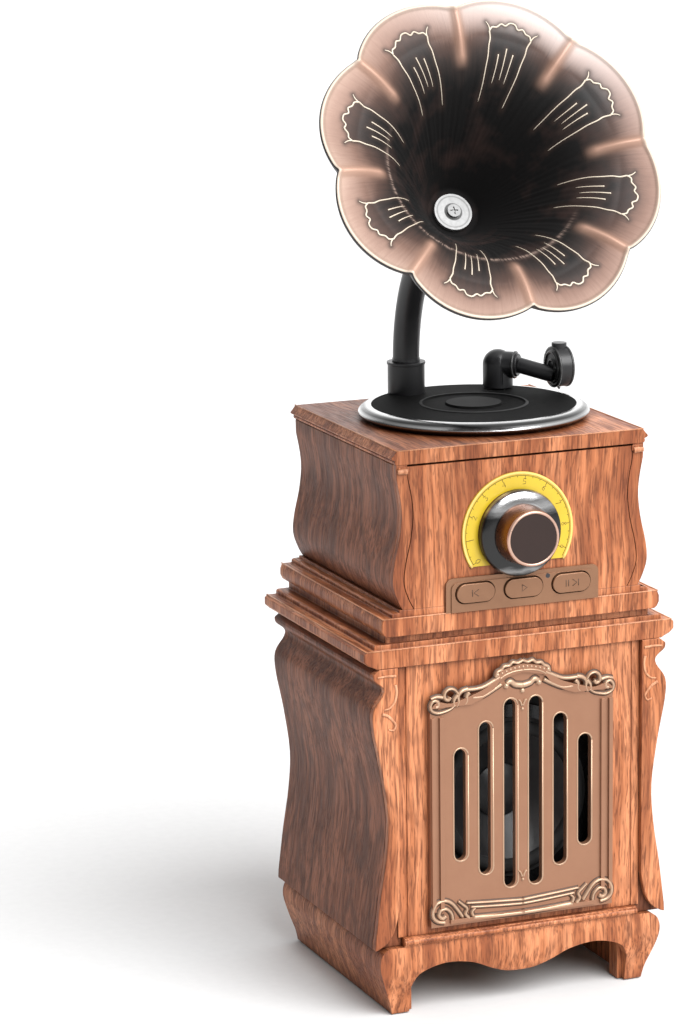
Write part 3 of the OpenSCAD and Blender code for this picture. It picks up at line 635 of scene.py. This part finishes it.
HORN_TILT = radians(31.7)   # upward tilt of the horn's axis, as in the CAD
HORN_YAW = radians(-3.5)    # sideways turn of the horn
PETALS = 8
FIRST_JOINT = radians(2.8)  # angle of the first joint between two petals
PETAL_STEP = 2 * pi / PETALS
BELL_LINE = [(7.2, 0), (12.4, 8.6), (18.4, 18.4), (24.6, 27.6), (29.2, 32.6), (34.5, 36.2), (41, 38.8),
             (51.2, 40.2)]  # the bell's inner line in the CAD: radius and height over the throat
SHEET = 1.2                 # thickness of the bell's sheet
PAINTED_SHADE_SIDE = radians(5)     # the side where painted shade darkens the bell furthest out
PAINTED_SHEEN_SIDE = radians(62)    # the side where a painted sheen turns the edge nearly white
FOLD_RADIUS = 29            # the near petals turn into the cone here, where a painted highlight line runs


class HornFrame:
    """The horn's own axes, in millimetres from the throat: x across, y up the mouth, z out of it."""

    def __init__(self):
        self.x = Vector((cos(HORN_YAW), sin(HORN_YAW), 0))
        self.z = Vector((sin(HORN_YAW) * cos(HORN_TILT), -cos(HORN_YAW) * cos(HORN_TILT), sin(HORN_TILT)))
        self.y = self.z.cross(self.x)
        self.origin = centre("throat_washer") - self.z * SHEET / 2 * MM
        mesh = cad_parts["horn_bell"].data
        points = np.array([v.co for v in mesh.vertices]) - np.array(self.origin)
        across, upward = points @ np.array(self.x), points @ np.array(self.y)
        self.tip = np.hypot(across, upward).max() / MM
        line = spline(BELL_LINE, 12)
        self.line_r, self.line_h = line[:, 0], line[:, 1]
        self.arc = 0.51 * self.tip          # a petal's edge is an arc about a point this far out
        self.arc_r = self.tip - self.arc

    def world(self, p):
        """Points in metres from an array of millimetre points in the horn's axes."""
        p = np.asarray(p, float) * MM
        return np.array(self.origin) + self.turned(p)

    def turned(self, p):
        """A direction in world axes from one in the horn's axes."""
        return (p[..., :1] * np.array(self.x) + p[..., 1:2] * np.array(self.y)
                + p[..., 2:3] * np.array(self.z))

    def offset(self, angle):
        """Angle from the middle of the nearest petal."""
        return (angle - FIRST_JOINT) % PETAL_STEP - PETAL_STEP / 2

    def edge(self, angle):
        """Radius of the petal's edge at an angle."""
        f = self.offset(angle)
        return self.arc * np.cos(f) + np.sqrt(self.arc_r ** 2 - (self.arc * np.sin(f)) ** 2)

    def joint(self, angle):
        """0 in the middle of a petal, 1 at a joint."""
        return np.abs(self.offset(angle)) / (PETAL_STEP / 2)

    def joint_distance(self, angle, r):
        """Millimetres round the bell to the nearest joint."""
        return (PETAL_STEP / 2 - np.abs(self.offset(angle))) * r

    def sheet(self, angle, r):
        """The turned line with its cupped petals."""
        petal = np.clip((r - 27) / 12, 0, 1) ** 1.5
        return np.interp(r, self.line_r, self.line_h) - 1.5 * petal * (1 - self.joint(angle) ** 2)

    def height(self, angle, r):
        """The bell's inside: the sheet with raised joints, a beaded edge and fine ribs."""
        d = self.joint_distance(angle, r)
        crest = 0.9 * np.exp(-(d / 1.1) ** 2) * np.clip((r - 29) / 4, 0, 1)
        bead = 0.5 * np.exp(-((self.edge(angle) - r - 0.5) / 0.55) ** 2)
        inner = np.clip((r - 10) / 8, 0, 1) * np.clip((35 - r) / 8, 0, 1)
        turn = angle - FIRST_JOINT
        ribs = (0.14 * np.cos(80 * turn + 0.08 * r) + 0.10 * np.cos(53 * turn + 1)
                + 0.08 * np.cos(31 * turn + 2))
        return self.sheet(angle, r) + crest + bead + inner * ribs

    def point(self, angle, r, lift=0.0):
        return np.stack([r * np.cos(angle), r * np.sin(angle), self.height(angle, r) + lift], -1)

    def normal(self, angle, r):
        """Outward direction of the bell's inside, in world axes."""
        e = 0.3
        da = self.point(angle + e / r, r) - self.point(angle - e / r, r)
        dr = self.point(angle, r + e) - self.point(angle, r - e)
        n = np.cross(dr, da)
        return self.turned(n / np.linalg.norm(n, axis=-1)[..., None])


# The ornament on a petal: each stroke is a list of (distance from the petal's middle line, radius).
ARCH = [(-6.3, 40.6), (-5.7, 41.9), (-4.4, 42.2), (-3.3, 43.2), (-1.9, 42.7), (-0.9, 43.9), (0.7, 44.0),
        (1.9, 42.9), (3.2, 43.2), (4.4, 42.0), (5.7, 41.8), (6.3, 40.6)]
LEG = [(6.3, 40.6), (5.6, 38.6), (5.5, 36.5), (5.0, 33.6), (4.7, 30.4), (4.1, 26.5), (3.7, 23.5)]
FLICK = [(6.2, 40.8), (6.9, 42.1), (7.9, 43.1)]
STEMS = [[(0.1, 36.6), (0.0, 33), (-0.1, 28.5)], [(2.1, 34.6), (1.9, 32), (1.7, 27.5)],
         [(-2.1, 35.4), (-1.9, 32.4), (-1.7, 28)]]


def mirrored(stroke):
    """The same stroke on the left side."""
    return [(-x, r) for x, r in stroke]


def petal_strokes():
    """Strokes with their half width at the start and at the end."""
    strokes = [(ARCH, 0.27, 0.27)]
    for side in (FLICK, mirrored(FLICK)):
        strokes.append((side, 0.26, 0.12))
    for side in (LEG, mirrored(LEG)):
        strokes.append((side, 0.27, 0.1))
    for stem in STEMS:
        strokes.append((stem, 0.22, 0.08))
    return strokes


AROUND = 480                # points round the bell
CONE_ROWS = 34              # rows of points from the throat to the turn
PETAL_ROWS = 46             # rows from the turn to the edge
TURN_RADIUS = 31.0          # here the cone turns into the petals


def bell_grid(horn):
    """Angle and radius of every point of the bell's inside, a row per ring."""
    angle = np.arange(AROUND) * 2 * pi / AROUND
    cone = np.linspace(horn.line_r[0], TURN_RADIUS, CONE_ROWS, endpoint=False)
    rows = [np.full(AROUND, r) for r in cone]
    edge = horn.edge(angle)
    rows += [TURN_RADIUS + (edge - TURN_RADIUS) * t for t in np.linspace(0, 1, PETAL_ROWS)]
    radius = np.array(rows)
    return np.broadcast_to(angle, radius.shape), radius


def bell_points(horn, angles, radius):
    """Inside, rolled lip and back, then the two middle points of the throat's floor."""
    inside = horn.point(angles, radius)
    back = inside.copy()
    back[..., 2] = horn.sheet(angles, radius) - SHEET
    widen = 1 + 0.6 * SHEET / radius * np.clip((TURN_RADIUS + 8 - radius) / 8, 0, 1)
    back[..., 0] *= widen
    back[..., 1] *= widen
    lip = inside[-1].copy()
    lip[:, 2] -= 0.55
    lip[:, :2] *= (radius[-1] + 0.25)[:, None] / radius[-1][:, None]
    points = list(horn.world(inside).reshape(-1, 3)) + list(horn.world(lip))
    points += list(horn.world(back[::-1]).reshape(-1, 3))
    for depth in (0, -SHEET):
        points.append(horn.world(np.array([0, 0, depth])))
    return points


def bell_faces(rings):
    """Four-sided faces between the rings and a fan on each side of the throat's floor."""
    faces = []
    for j in range(rings - 1):
        for i in range(AROUND):
            m = (i + 1) % AROUND
            faces.append((j * AROUND + i, j * AROUND + m, (j + 1) * AROUND + m, (j + 1) * AROUND + i))
    middle = rings * AROUND
    last = (rings - 1) * AROUND
    for i in range(AROUND):
        m = (i + 1) % AROUND
        faces.append((middle, m, i))
        faces.append((middle + 1, last + i, last + m))
    return faces


def paint_bell(bell, horn, angles, radius):
    """What the horn's material needs to know at each point."""
    edge = radius[-1]
    joint_gap = horn.joint_distance(angles, radius)
    near_edge = np.clip((radius / edge - 0.80) / 0.16, 0, 1)
    near_side = np.clip(-np.sin(angles + radians(30)) * 2, 0, 1)
    paint(bell, "reach", radius / horn.tip, default=0.9)
    paint(bell, "joint", horn.joint(angles))
    paint(bell, "seam", np.exp(-(joint_gap / 1.5) ** 2) * np.clip((radius - 30) / 3, 0, 1))
    paint(bell, "rim", np.exp(-((edge - radius) / 0.75) ** 2))
    paint(bell, "halo", ornament_halo(horn, angles, radius))
    paint(bell, "arched", inside_arch(horn, angles, radius))
    # painted shade: darker towards one side of the bell
    paint(bell, "horn_painted_shade", 0.5 + 0.5 * np.cos(angles - PAINTED_SHADE_SIDE))
    # painted sheen: the edge turned nearly white towards one side
    paint(bell, "horn_painted_sheen", 0.75 * (np.clip(np.cos(angles - PAINTED_SHEEN_SIDE), 0, 1) ** 4 * near_edge))
    # painted highlight: a pale line where the near petals turn into the cone
    paint(bell, "horn_fold_highlight", np.exp(-((radius - FOLD_RADIUS) / 0.45) ** 2) * near_side)


def build_horn():
    """The bell with its lip and back, in place of the CAD's bell."""
    horn = HornFrame()
    angles, radius = bell_grid(horn)
    rows = len(radius)
    points = bell_points(horn, angles, radius)
    bell = new_object("bell", points, bell_faces(2 * rows + 1), "horn", horn_material())
    bell.data.materials.append(HORN_BACK)
    lip_start = (rows - 1) * AROUND
    slots = [1 if min(p.vertices) >= lip_start else 0 for p in bell.data.polygons]
    bell.data.polygons.foreach_set("material_index", slots)
    paint_bell(bell, horn, angles, radius)
    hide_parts("horn_bell")
    build_horn_ornament(horn)


def build_horn_ornament(horn):
    """Thin raised lines on every petal."""
    marks = Pile()
    for petal in range(PETALS):
        middle = FIRST_JOINT + (petal + 0.5) * PETAL_STEP
        for stroke, w0, w1 in petal_strokes():
            path = spline(stroke, 5)
            a = middle + path[:, 0] / path[:, 1]
            width = np.linspace(w0, w1, len(path)) * MM
            marks.bar(horn.world(horn.point(a, path[:, 1], 0.08)), horn.normal(a, path[:, 1]),
                      width, width * 0.9, 6)
    marks.object("horn_ornament", "horn", CREAM)


def ornament_halo(horn, angles, radius):
    """How near a point of the bell is to an ornament's line, 1 on it and 0 a few millimetres off."""
    across = horn.offset(angles) * radius
    nearest = np.full(radius.shape, 99.0)
    for stroke, _, _ in petal_strokes():
        for x, r in spline(stroke, 3):
            nearest = np.minimum(nearest, np.hypot(across - x, radius - r))
    return np.exp(-(nearest / 0.9) ** 2)


def inside_arch(horn, angles, radius):
    """1 between the legs and under the arch of a petal's ornament, 0 outside it."""
    across = np.abs(horn.offset(angles) * radius)
    leg = np.array(LEG)[::-1]
    arch = np.array(ARCH[len(ARCH) // 2:])
    sideways = np.clip((np.interp(radius, leg[:, 1], leg[:, 0]) - across) / 0.8, 0, 1)
    below = np.clip((np.interp(across, arch[:, 0], arch[:, 1]) - radius) / 0.8, 0, 1)
    return sideways * below * np.clip((radius - 24) / 4, 0, 1)


def paint(obj, name, values, default=0):
    """Stores a value per point of the bell's inside as a mesh attribute.
    The lip takes the values of the last ring, the back takes the default."""
    layer = obj.data.attributes.new(name, "FLOAT", "POINT")
    full = np.full(len(obj.data.vertices), float(default), np.float32)
    flat = np.asarray(values, np.float32).reshape(-1)
    full[:len(flat)] = flat
    full[len(flat):len(flat) + AROUND] = flat[-AROUND:]
    layer.data.foreach_set("value", full)


def horn_material():
    """Antiqued copper: cream at the edge, pink brown on the petals, black in the throat; with painted
    shade on one side, a painted sheen at the top edge, a painted highlight line along the turn of the near
    petals and faint painted reflections in the throat.
    """
    s = Shade("antiqued_horn_copper", Metallic=0.2, Specular_IOR_Level=0.25, Coat_Weight=0.05,
              Coat_Roughness=0.4)
    reach, joint, arched = s.attribute("reach"), s.attribute("joint"), s.attribute("arched")
    cloud = s.noise(s.coords, 70, 3, 0.6)
    brush = s.noise(s.joined(s.times(joint, 26), s.times(reach, 5), s.times(cloud, 3)), 1.0, 4, 0.65)
    tone = s.add(reach, s.times(s.math("POWER", joint, 2.0), 0.10))
    tone = s.add(tone, s.times(s.math("SUBTRACT", brush, 0.5), 0.10))
    tone = s.add(tone, s.times(s.math("SUBTRACT", cloud, 0.5), 0.08))
    tone = s.math("SUBTRACT", tone, s.times(arched, 0.10))
    # painted shade on one side of the bell
    tone = s.math("SUBTRACT", tone, s.times(s.attribute("horn_painted_shade"), 0.10))
    colour = s.ramp(tone, [(0.54, (0.004, 0.0035, 0.0035, 1)), (0.64, (0.022, 0.015, 0.013, 1)),
                           (0.74, (0.062, 0.034, 0.026, 1)), (0.84, (0.17, 0.098, 0.074, 1)),
                           (0.93, (0.26, 0.165, 0.128, 1)), (1.0, (0.35, 0.24, 0.19, 1))])
    # painted sheen near the edge
    colour = s.mix(s.attribute("horn_painted_sheen"), colour, (0.56, 0.50, 0.48, 1))
    # painted reflection: faint brown clouds lighten the black throat
    colour = s.mix(s.times(s.ramp(cloud, [(0.5, 0.0), (0.68, 1.0)]), 0.5), colour,
                   (0.045, 0.024, 0.020, 1), blend="LIGHTEN")
    colour = s.mix(s.times(s.attribute("seam"), 0.7), colour, (0.50, 0.30, 0.22, 1))
    colour = s.mix(s.times(s.attribute("halo"), 0.85), colour, (0.030, 0.018, 0.014, 1))
    colour = s.mix(s.attribute("rim"), colour, (0.60, 0.51, 0.42, 1))
    # painted highlight along the turn of the near petals
    fold_line_paint = s.times(s.attribute("horn_fold_highlight"), s.ramp(brush, [(0.40, 0.0), (0.55, 0.8)]))
    colour = s.mix(fold_line_paint, colour, (0.32, 0.23, 0.19, 1))
    matt = s.ramp(reach, [(0.5, 0.8), (0.75, 0.42)])
    s.set(Base_Color=colour, Roughness=s.add(matt, s.times(brush, 0.12)))
    s.bump(s.add(brush, s.times(s.noise(s.coords, 1500, 2), 0.15)), 0.18, 0.3 * MM)
    return s.mat


CREAM = grained("cream_raised_line", (0.66, 0.58, 0.47, 1), (0.50, 0.40, 0.31, 1), 0.35)
build_horn()


# ---------------- front details

OUT = Vector((0, -1, 0))      # the direction the cabinet's front faces


def on_front(x, z, y):
    """A point on an upright front plane: x and z in millimetres, y in metres."""
    return (x * MM, y, z * MM + floor_z)


def both_sides(stroke):
    return [stroke, mirrored(stroke)]


def front_bar(pile, stroke, y, w0, w1, height):
    """A raised line on a front plane; its half width runs from w0 to w1 and its height is even."""
    path = spline(stroke)
    width = np.linspace(w0, w1, len(path)) * MM
    pile.bar([on_front(x, z, y) for x, z in path], OUT, width, height * MM)


def boss(pile, x, z, y, radius, height):
    """A round boss on a front plane."""
    profile = [(radius * MM, -0.2 * MM)]
    profile += [(radius * MM * cos(t), height * MM * sin(t)) for t in (0, 0.35, 0.7, 1.1, pi / 2)]
    profile[-1] = (0, height * MM)
    pile.add(*lathe(profile, on_front(x, z, y), OUT, (1, 0, 0), 14))


def stadium_loop(x, low, high, radius):
    """Points once round a slot with round ends."""
    points = []
    for k in range(9):
        a = pi * k / 8
        points.append((x + radius * cos(a), high - radius + radius * sin(a)))
    for k in range(9):
        a = pi + pi * k / 8
        points.append((x + radius * cos(a), low + radius + radius * sin(a)))
    return points + points[:1]


# ---------------- grille ornament

PLATE_RIM = 0.8               # how far the plate's rims stand out of its face
SLOT_PITCH = 8.05
SLOT_SHIFT = 0.27
SLOT_HALF = 2.08
SLOT_LOW = [36, 41, 46.2]     # ends of the slots, from the middle pair to the outer pair
SLOT_HIGH = [93.7, 87.6, 80.3]
# Strokes of the relief on the right half: (distance from the middle, height), millimetres.
TOP_RODS = [[(7.4, 100.9), (10.4, 99.4), (12.9, 98.4), (15.3, 98.1), (18.2, 98.2)],
            [(6.9, 98.6), (10.2, 96.8), (13, 95.6), (16.2, 95.6)]]
LEAVES = [[(17.6, 98.3), (19.5, 97.9), (20.7, 96.6), (20.6, 94.8), (21.2, 93.4)],
          [(17.2, 97.2), (18.0, 96.2), (17.9, 94.9), (18.6, 93.8)],
          [(20.9, 96.8), (22.0, 95.6), (22.2, 93.9)]]
SCROLL = [(21.8, 94.0), (23.3, 92.9), (25.3, 92.3), (27.4, 92.1), (29.2, 93.0), (29.6, 94.6), (28.6, 95.9),
          (27.2, 95.4), (27.2, 94.2), (28.0, 93.9)]
CURL = [(20.8, 97.2), (21.9, 98.6), (23.6, 99.0), (25.0, 98.0), (25.1, 96.4), (24.0, 95.7), (23.3, 96.5)]
CORNER_TIP = [(25.6, 96.6), (27.6, 97.0), (29.5, 96.6)]
CREST = [(8.6, 100.9), (8.3, 102.3), (6.9, 103.0), (6.0, 103.9), (4.4, 104.0), (3.2, 104.9), (1.6, 104.5),
         (0, 105.2)]
SHELL = [(7.4, 100.4), (5.6, 101.4), (3.0, 102.1), (0, 102.3)]
SMILE = [(5.1, 98.5), (3.9, 99.1), (2.4, 98.0), (0, 97.5)]
LOWER_ARC = [(19.7, 28.9), (21.4, 31.4), (23.2, 33.5), (25.4, 34.5), (27.8, 34.0), (29.1, 32.2),
             (29.1, 29.8), (27.6, 28.3), (25.4, 27.8)]
LOWER_CURL = [(22.9, 28.4), (23.3, 30.4), (24.9, 31.9), (26.7, 31.7), (27.3, 30.2), (26.2, 29.1),
              (25.1, 29.7)]
LOWER_LEAVES = [[(17.6, 28.2), (18.7, 29.6), (18.2, 31.2), (19.6, 32.6), (21.0, 33.8)],
                [(16.2, 28.6), (16.6, 30.0), (15.6, 31.0)]]
LOWER_RODS = [[(0, 31.6), (6, 32.0), (12, 32.4), (18.4, 32.9)],
              [(0, 30.4), (6, 30.7), (12, 31.1), (17.0, 31.5)]]
LOWER_ROD = [(0, 27.6), (8, 27.8), (16.2, 28.2)]


def build_grille_ornament():
    """Each stroke of the relief, and under it a wider, flatter dark stroke of painted shade."""
    y = grille_low.y + PLATE_RIM * MM
    relief = Pile()
    shadow = Pile()
    strokes = [(rod, 0.62, 0.55, 0.95) for rod in TOP_RODS]
    strokes += [(leaf, 0.75, 0.3, 0.9) for leaf in LEAVES]
    strokes += [(SCROLL, 0.35, 0.62, 1.0), (CURL, 0.4, 0.62, 1.1), (CORNER_TIP, 0.6, 0.4, 0.9)]
    strokes += [(CREST, 0.55, 0.5, 1.0), (SHELL, 0.3, 0.35, 1.1), (SMILE, 0.75, 0.9, 0.9)]
    strokes += [(LOWER_ARC, 0.5, 0.6, 1.0), (LOWER_CURL, 0.45, 0.65, 1.0)]
    strokes += [(leaf, 0.55, 0.35, 0.9) for leaf in LOWER_LEAVES]
    strokes += [(rod, 0.4, 0.35, 0.75) for rod in LOWER_RODS] + [(LOWER_ROD, 0.75, 0.7, 1.0)]
    for stroke, w0, w1, height in strokes:
        for line in both_sides(stroke):
            # painted shade: a wider dark stroke under each relief stroke
            front_bar(shadow, line, y, w0 + 0.42, w1 + 0.42, 0.22)
            front_bar(relief, line, y, w0, w1, height)
    for k in range(-5, 6):
        boss(relief, 1.35 * k, 103.3 - 0.055 * k * k, y, 0.55, 1.1)
    for s in (-1, 1):
        boss(relief, s * 5.3, 97.9, y, 0.95, 1.1)
        boss(relief, s * 8.2, 101.6, y, 0.8, 1.1)
        for z in (92.2, 39.6):
            leaf = [(s * 0.2, z - 0.8), (s * 0.7, z + 0.5), (s * 1.3, z + 1.0)]
            front_bar(relief, leaf, y, 0.35, 0.25, 0.6)
    for z in (90.4, 37.9):
        boss(relief, 0, z, y, 0.5, 0.7)
    boss(relief, 0, 95.9, y, 0.8, 0.8)
    for s in (-1, 1):
        for i in range(3):
            x = s * (SLOT_PITCH / 2 + i * SLOT_PITCH + SLOT_SHIFT * s)
            loop = stadium_loop(x, SLOT_LOW[i] - 0.3, SLOT_HIGH[i] + 0.3, SLOT_HALF + 0.3)
            relief.bar([on_front(a, b, y) for a, b in loop], OUT, 0.26 * MM, 0.16 * MM, 6)
    relief.object("grille_relief", "cabinet", PALE_COPPER)
    shadow.object("grille_relief_painted_shade", "cabinet", SHADE_AND_SIGN_COPPER)


PALE_COPPER = grained("rubbed_copper_relief", (0.50, 0.335, 0.225, 1), (0.42, 0.26, 0.17, 1), 0.34,
                      Metallic=0.5)
# painted shade round the grille's relief; the same dark copper colours the signs on the keys
SHADE_AND_SIGN_COPPER = grained("painted_shade_and_key_sign_copper", (0.085, 0.042, 0.024, 1),
                      (0.06, 0.03, 0.018, 1), 0.5)
build_grille_ornament()


# ---------------- carving on the pilasters

CARVING = [[(40.4, 102.0), (40.0, 99.6), (40.7, 96.8), (42.2, 95.2), (44.0, 94.8)],
           [(44.6, 93.6), (42.8, 92.8), (41.4, 91.4), (40.4, 89.8), (41.2, 88.4), (42.6, 88.8)],
           [(40.2, 104.6), (43.2, 104.8), (46.0, 104.6)]]


def build_carving():
    """Shallow carved strokes at the top of each pilaster, in a pale wood that paints highlights on them.
    """
    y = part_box("pilaster_left")[0].y
    carving = Pile()
    for stroke in CARVING:
        for line in both_sides(stroke):
            front_bar(carving, line, y, 0.5, 0.25, 0.4)
    carving.object("pilaster_carving", "cabinet", HIGHLIGHT_WOOD)


# painted highlight: a pale wood for the carving, the top edges and the post blocks
HIGHLIGHT_WOOD = wood("painted_highlight_wood", (0.48, 0.20, 0.10, 1), (0.60, 0.28, 0.15, 1), (0.70, 0.36, 0.21, 1),
                 (0.30, 0.11, 0.05, 1))
build_carving()


# ---------------- edges with painted highlights

# Board, half its width at the top edge, height of that edge over the floor; millimetres.
TOP_EDGES = [("lid", 39.3, 171.0), ("upper_moulding", 44.1, 121.8), ("lower_moulding", 49.1, 112.4)]


def build_edge_highlights():
    """Fine pale lines of painted highlight along the top edges, and a pale block of painted highlight on
    each post.
    """
    edges = Pile()
    for node, half, level in TOP_EDGES:
        low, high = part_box(node)
        z = floor_z + level * MM
        y = low.y + 0.12 * MM
        left, right = -half * MM, half * MM
        for start, end in (((left, y), (right, y)), ((left, y), (left, high.y)),
                           ((right, y), (right, high.y))):
            edges.bar(np.linspace((*start, z), (*end, z), 12), (0, 0, 1), 0.28 * MM, 0.2 * MM, 8)
    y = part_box("corner_post_left")[0].y
    for line in both_sides(POST_BLOCK):
        front_bar(edges, line, y, 0.9, 0.7, 0.5)
    edges.object("painted_edge_highlights", "cabinet", HIGHLIGHT_WOOD)


# where a pale block of painted highlight sits on each corner post
POST_BLOCK = [(36.2, 164.9), (37.6, 165.0), (39.2, 164.9)]
build_edge_highlights()


# ---------------- tonearm trim

ARM_YAW = radians(-41.5)      # direction of the arm, counted from +X
HOUSING_LENGTH = 6.6          # the housing ends this far from the post's axis
HOUSING_RADIUS = 4.0
SOUNDBOX_RADIUS = 6.1


def round_band(pile, middle, axis, radius, half_width, height):
    """A raised band round an axis, millimetre sizes."""
    profile = [(radius - 0.4, -half_width), (radius + height * 0.7, -half_width * 0.7),
               (radius + height, 0), (radius + height * 0.7, half_width * 0.7),
               (radius - 0.4, half_width)]
    pile.add(*lathe([(r * MM, h * MM) for r, h in profile], middle, axis, (0, 0, 1), 64))


def build_arm_trim():
    """A band at the end of the arm's housing and turned rings on the soundbox."""
    arm = Vector((cos(ARM_YAW), sin(ARM_YAW), 0))
    box_low, box_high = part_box("soundbox")
    axis_z = box_low.z + SOUNDBOX_RADIUS * MM
    pivot = centre("arm_pivot")
    housing = Vector((pivot.x, pivot.y, axis_z))
    trim = Pile()
    round_band(trim, housing + arm * (HOUSING_LENGTH - 1.1) * MM, arm, HOUSING_RADIUS, 0.35, 0.25)
    box = centre("soundbox")
    side = Vector((1, 0, 0))
    for x in (box_low.x + 0.35 * MM, box_high.x - 0.35 * MM):
        round_band(trim, Vector((x, box.y, axis_z)), side, SOUNDBOX_RADIUS, 0.45, 0.22)
    for x, way in ((box_low.x, -side), (box_high.x, side)):
        for radius in (4.6, 2.2):
            ring = [(-0.5, -0.1), (-0.3, 0.35), (0, 0.45), (0.3, 0.35), (0.5, -0.1)]
            profile = [((radius + out) * MM, up * MM) for out, up in ring]
            trim.add(*lathe(profile, (x, box.y, axis_z), way, (0, 0, 1), 64))
    trim.object("arm_trim", "tonearm", WORN_BLACK)


WORN_BLACK = grained("worn_black_enamel", (0.07, 0.07, 0.07, 1), (0.03, 0.03, 0.03, 1), 0.25,
                     Metallic=0.5)
build_arm_trim()


# ---------------- dial, knob and keys

# Strokes of the figures in a box 1 wide and 2 high.
FIGURES = {
    0: [[(0.5, 2), (0, 1.5), (0, 0.5), (0.5, 0), (1, 0.5), (1, 1.5), (0.5, 2)]],
    1: [[(0.2, 1.5), (0.6, 2), (0.6, 0)]],
    2: [[(0, 1.6), (0.5, 2), (1, 1.5), (0, 0), (1, 0)]],
    3: [[(0, 1.8), (0.9, 1.8), (0.4, 1.1), (1, 0.6), (0.5, 0), (0, 0.2)]],
    4: [[(0.8, 0), (0.8, 2), (0, 0.7), (1, 0.7)]],
    5: [[(1, 2), (0.1, 2), (0, 1.1), (0.9, 1.0), (0.9, 0.2), (0, 0)]],
    6: [[(0.9, 1.9), (0.1, 1.1), (0.1, 0.2), (0.8, 0), (0.9, 0.9), (0.1, 1.0)]],
    7: [[(0, 2), (1, 2), (0.3, 0)]],
    8: [[(0.5, 1.05), (0.1, 1.6), (0.5, 2), (0.9, 1.6), (0.5, 1.05), (0, 0.5), (0.5, 0), (1, 0.5),
         (0.5, 1.05)]],
    9: [[(0.9, 1.0), (0.2, 1.0), (0.1, 1.8), (0.8, 2), (0.9, 1.4), (0.6, 0)]],
}
FIRST_FIGURE = radians(211)   # angle of the nought on the dial
FIGURE_STEP = radians(-25.9)
LINE = 0.09                   # half width of a printed line


def print_line(pile, points, y):
    """A printed line on a front plane."""
    pile.bar([on_front(x, z, y) for x, z in points], OUT, LINE * MM, 0.05 * MM, 4)


def arc(radius, start, end, count):
    """Points on a circle round the knob's axis, in front view millimetres."""
    return [(radius * cos(a) + knob.x / MM, radius * sin(a) + (knob.z - floor_z) / MM)
            for a in np.linspace(start, end, count)]


def build_dial():
    """A ring, ten figures and their graduations, and the pale edge of the disc."""
    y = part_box("dial_scale")[0].y
    outer = size("dial_scale").x / 2 / MM
    marks = Pile()
    print_line(marks, arc(outer - 1.15, radians(-31), radians(211), 60), y)
    rim = Pile()
    rim.bar([on_front(x, z, y) for x, z in arc(outer - 0.45, radians(-33), radians(213), 60)], OUT,
            0.42 * MM, 0.10 * MM, 6)
    for k in range(10):
        a = FIRST_FIGURE + k * FIGURE_STEP
        for t in (0, 1 / 3, 2 / 3):
            b = a + t * FIGURE_STEP
            if k == 9 and t > 0:
                continue
            length = 1.0 if t == 0 else 0.5
            ends = [arc(outer - 1.15 - d, b, b, 1)[0] for d in (0, length)]
            print_line(marks, ends, y)
        spot = arc(outer - 2.9, a, a, 1)[0]
        turn = a - pi / 2
        for stroke in FIGURES[k]:
            path = []
            for x, z in stroke:
                u = (x - 0.5) * 0.95
                v = (z - 1) * 0.8
                path.append((spot[0] + u * cos(turn) - v * sin(turn),
                             spot[1] + u * sin(turn) + v * cos(turn)))
            print_line(marks, path, y)
    marks.object("dial_print", "cabinet", PRINT)
    rim.object("dial_edge", "cabinet", PALE_YELLOW)


def build_knob_rim():
    """The bright bevel round the knob's face."""
    radius = size("knob_face").x / 2
    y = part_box("knob_barrel")[0].y
    bevel = [(0.05, -0.3), (0.1, 0.25), (0.45, 0.4), (0.85, 0.15), (0.95, -0.4)]
    profile = [(radius + out * MM, up * MM) for out, up in bevel]
    pile = Pile()
    pile.add(*lathe(profile, (knob.x, y, knob.z), OUT, (1, 0, 0), 96))
    pile.object("knob_face_rim", "knob", KNOB_RIM)


# Signs on the keys, millimetres from the key's middle.
SIGNS = {
    "key_previous": [[(0.8, 1.0), (-0.7, 0), (0.8, -1.0)], [(-1.2, 1.0), (-1.2, -1.0)]],
    "key_play": [[(-0.7, 1.0), (0.9, 0), (-0.7, -1.0), (-0.7, 1.0)]],
    "key_next": [[(-1.9, 1.0), (-1.9, -1.0)], [(-1.1, 1.0), (-1.1, -1.0)],
                 [(0.2, 1.0), (1.6, 0), (0.2, -1.0)], [(2.1, 1.0), (2.1, -1.0)]],
}


def build_key_signs():
    """Raised signs on the three keys."""
    for key, strokes in SIGNS.items():
        middle = centre(key)
        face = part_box(key)[0].y
        sign = Pile()
        for stroke in strokes:
            path = [(middle.x / MM + x, (middle.z - floor_z) / MM + z) for x, z in stroke]
            sign.bar([on_front(x, z, face) for x, z in path], OUT, 0.14 * MM, 0.07 * MM, 4)
        sign.object(key + "_sign", key, SHADE_AND_SIGN_COPPER)


PRINT = grained("brown_dial_print", (0.09, 0.055, 0.01, 1), (0.06, 0.04, 0.01, 1), 0.5)
PALE_YELLOW = grained("pale_dial_edge", (0.80, 0.55, 0.16, 1), (0.74, 0.48, 0.12, 1), 0.4)
build_dial()
build_knob_rim()
build_key_signs()
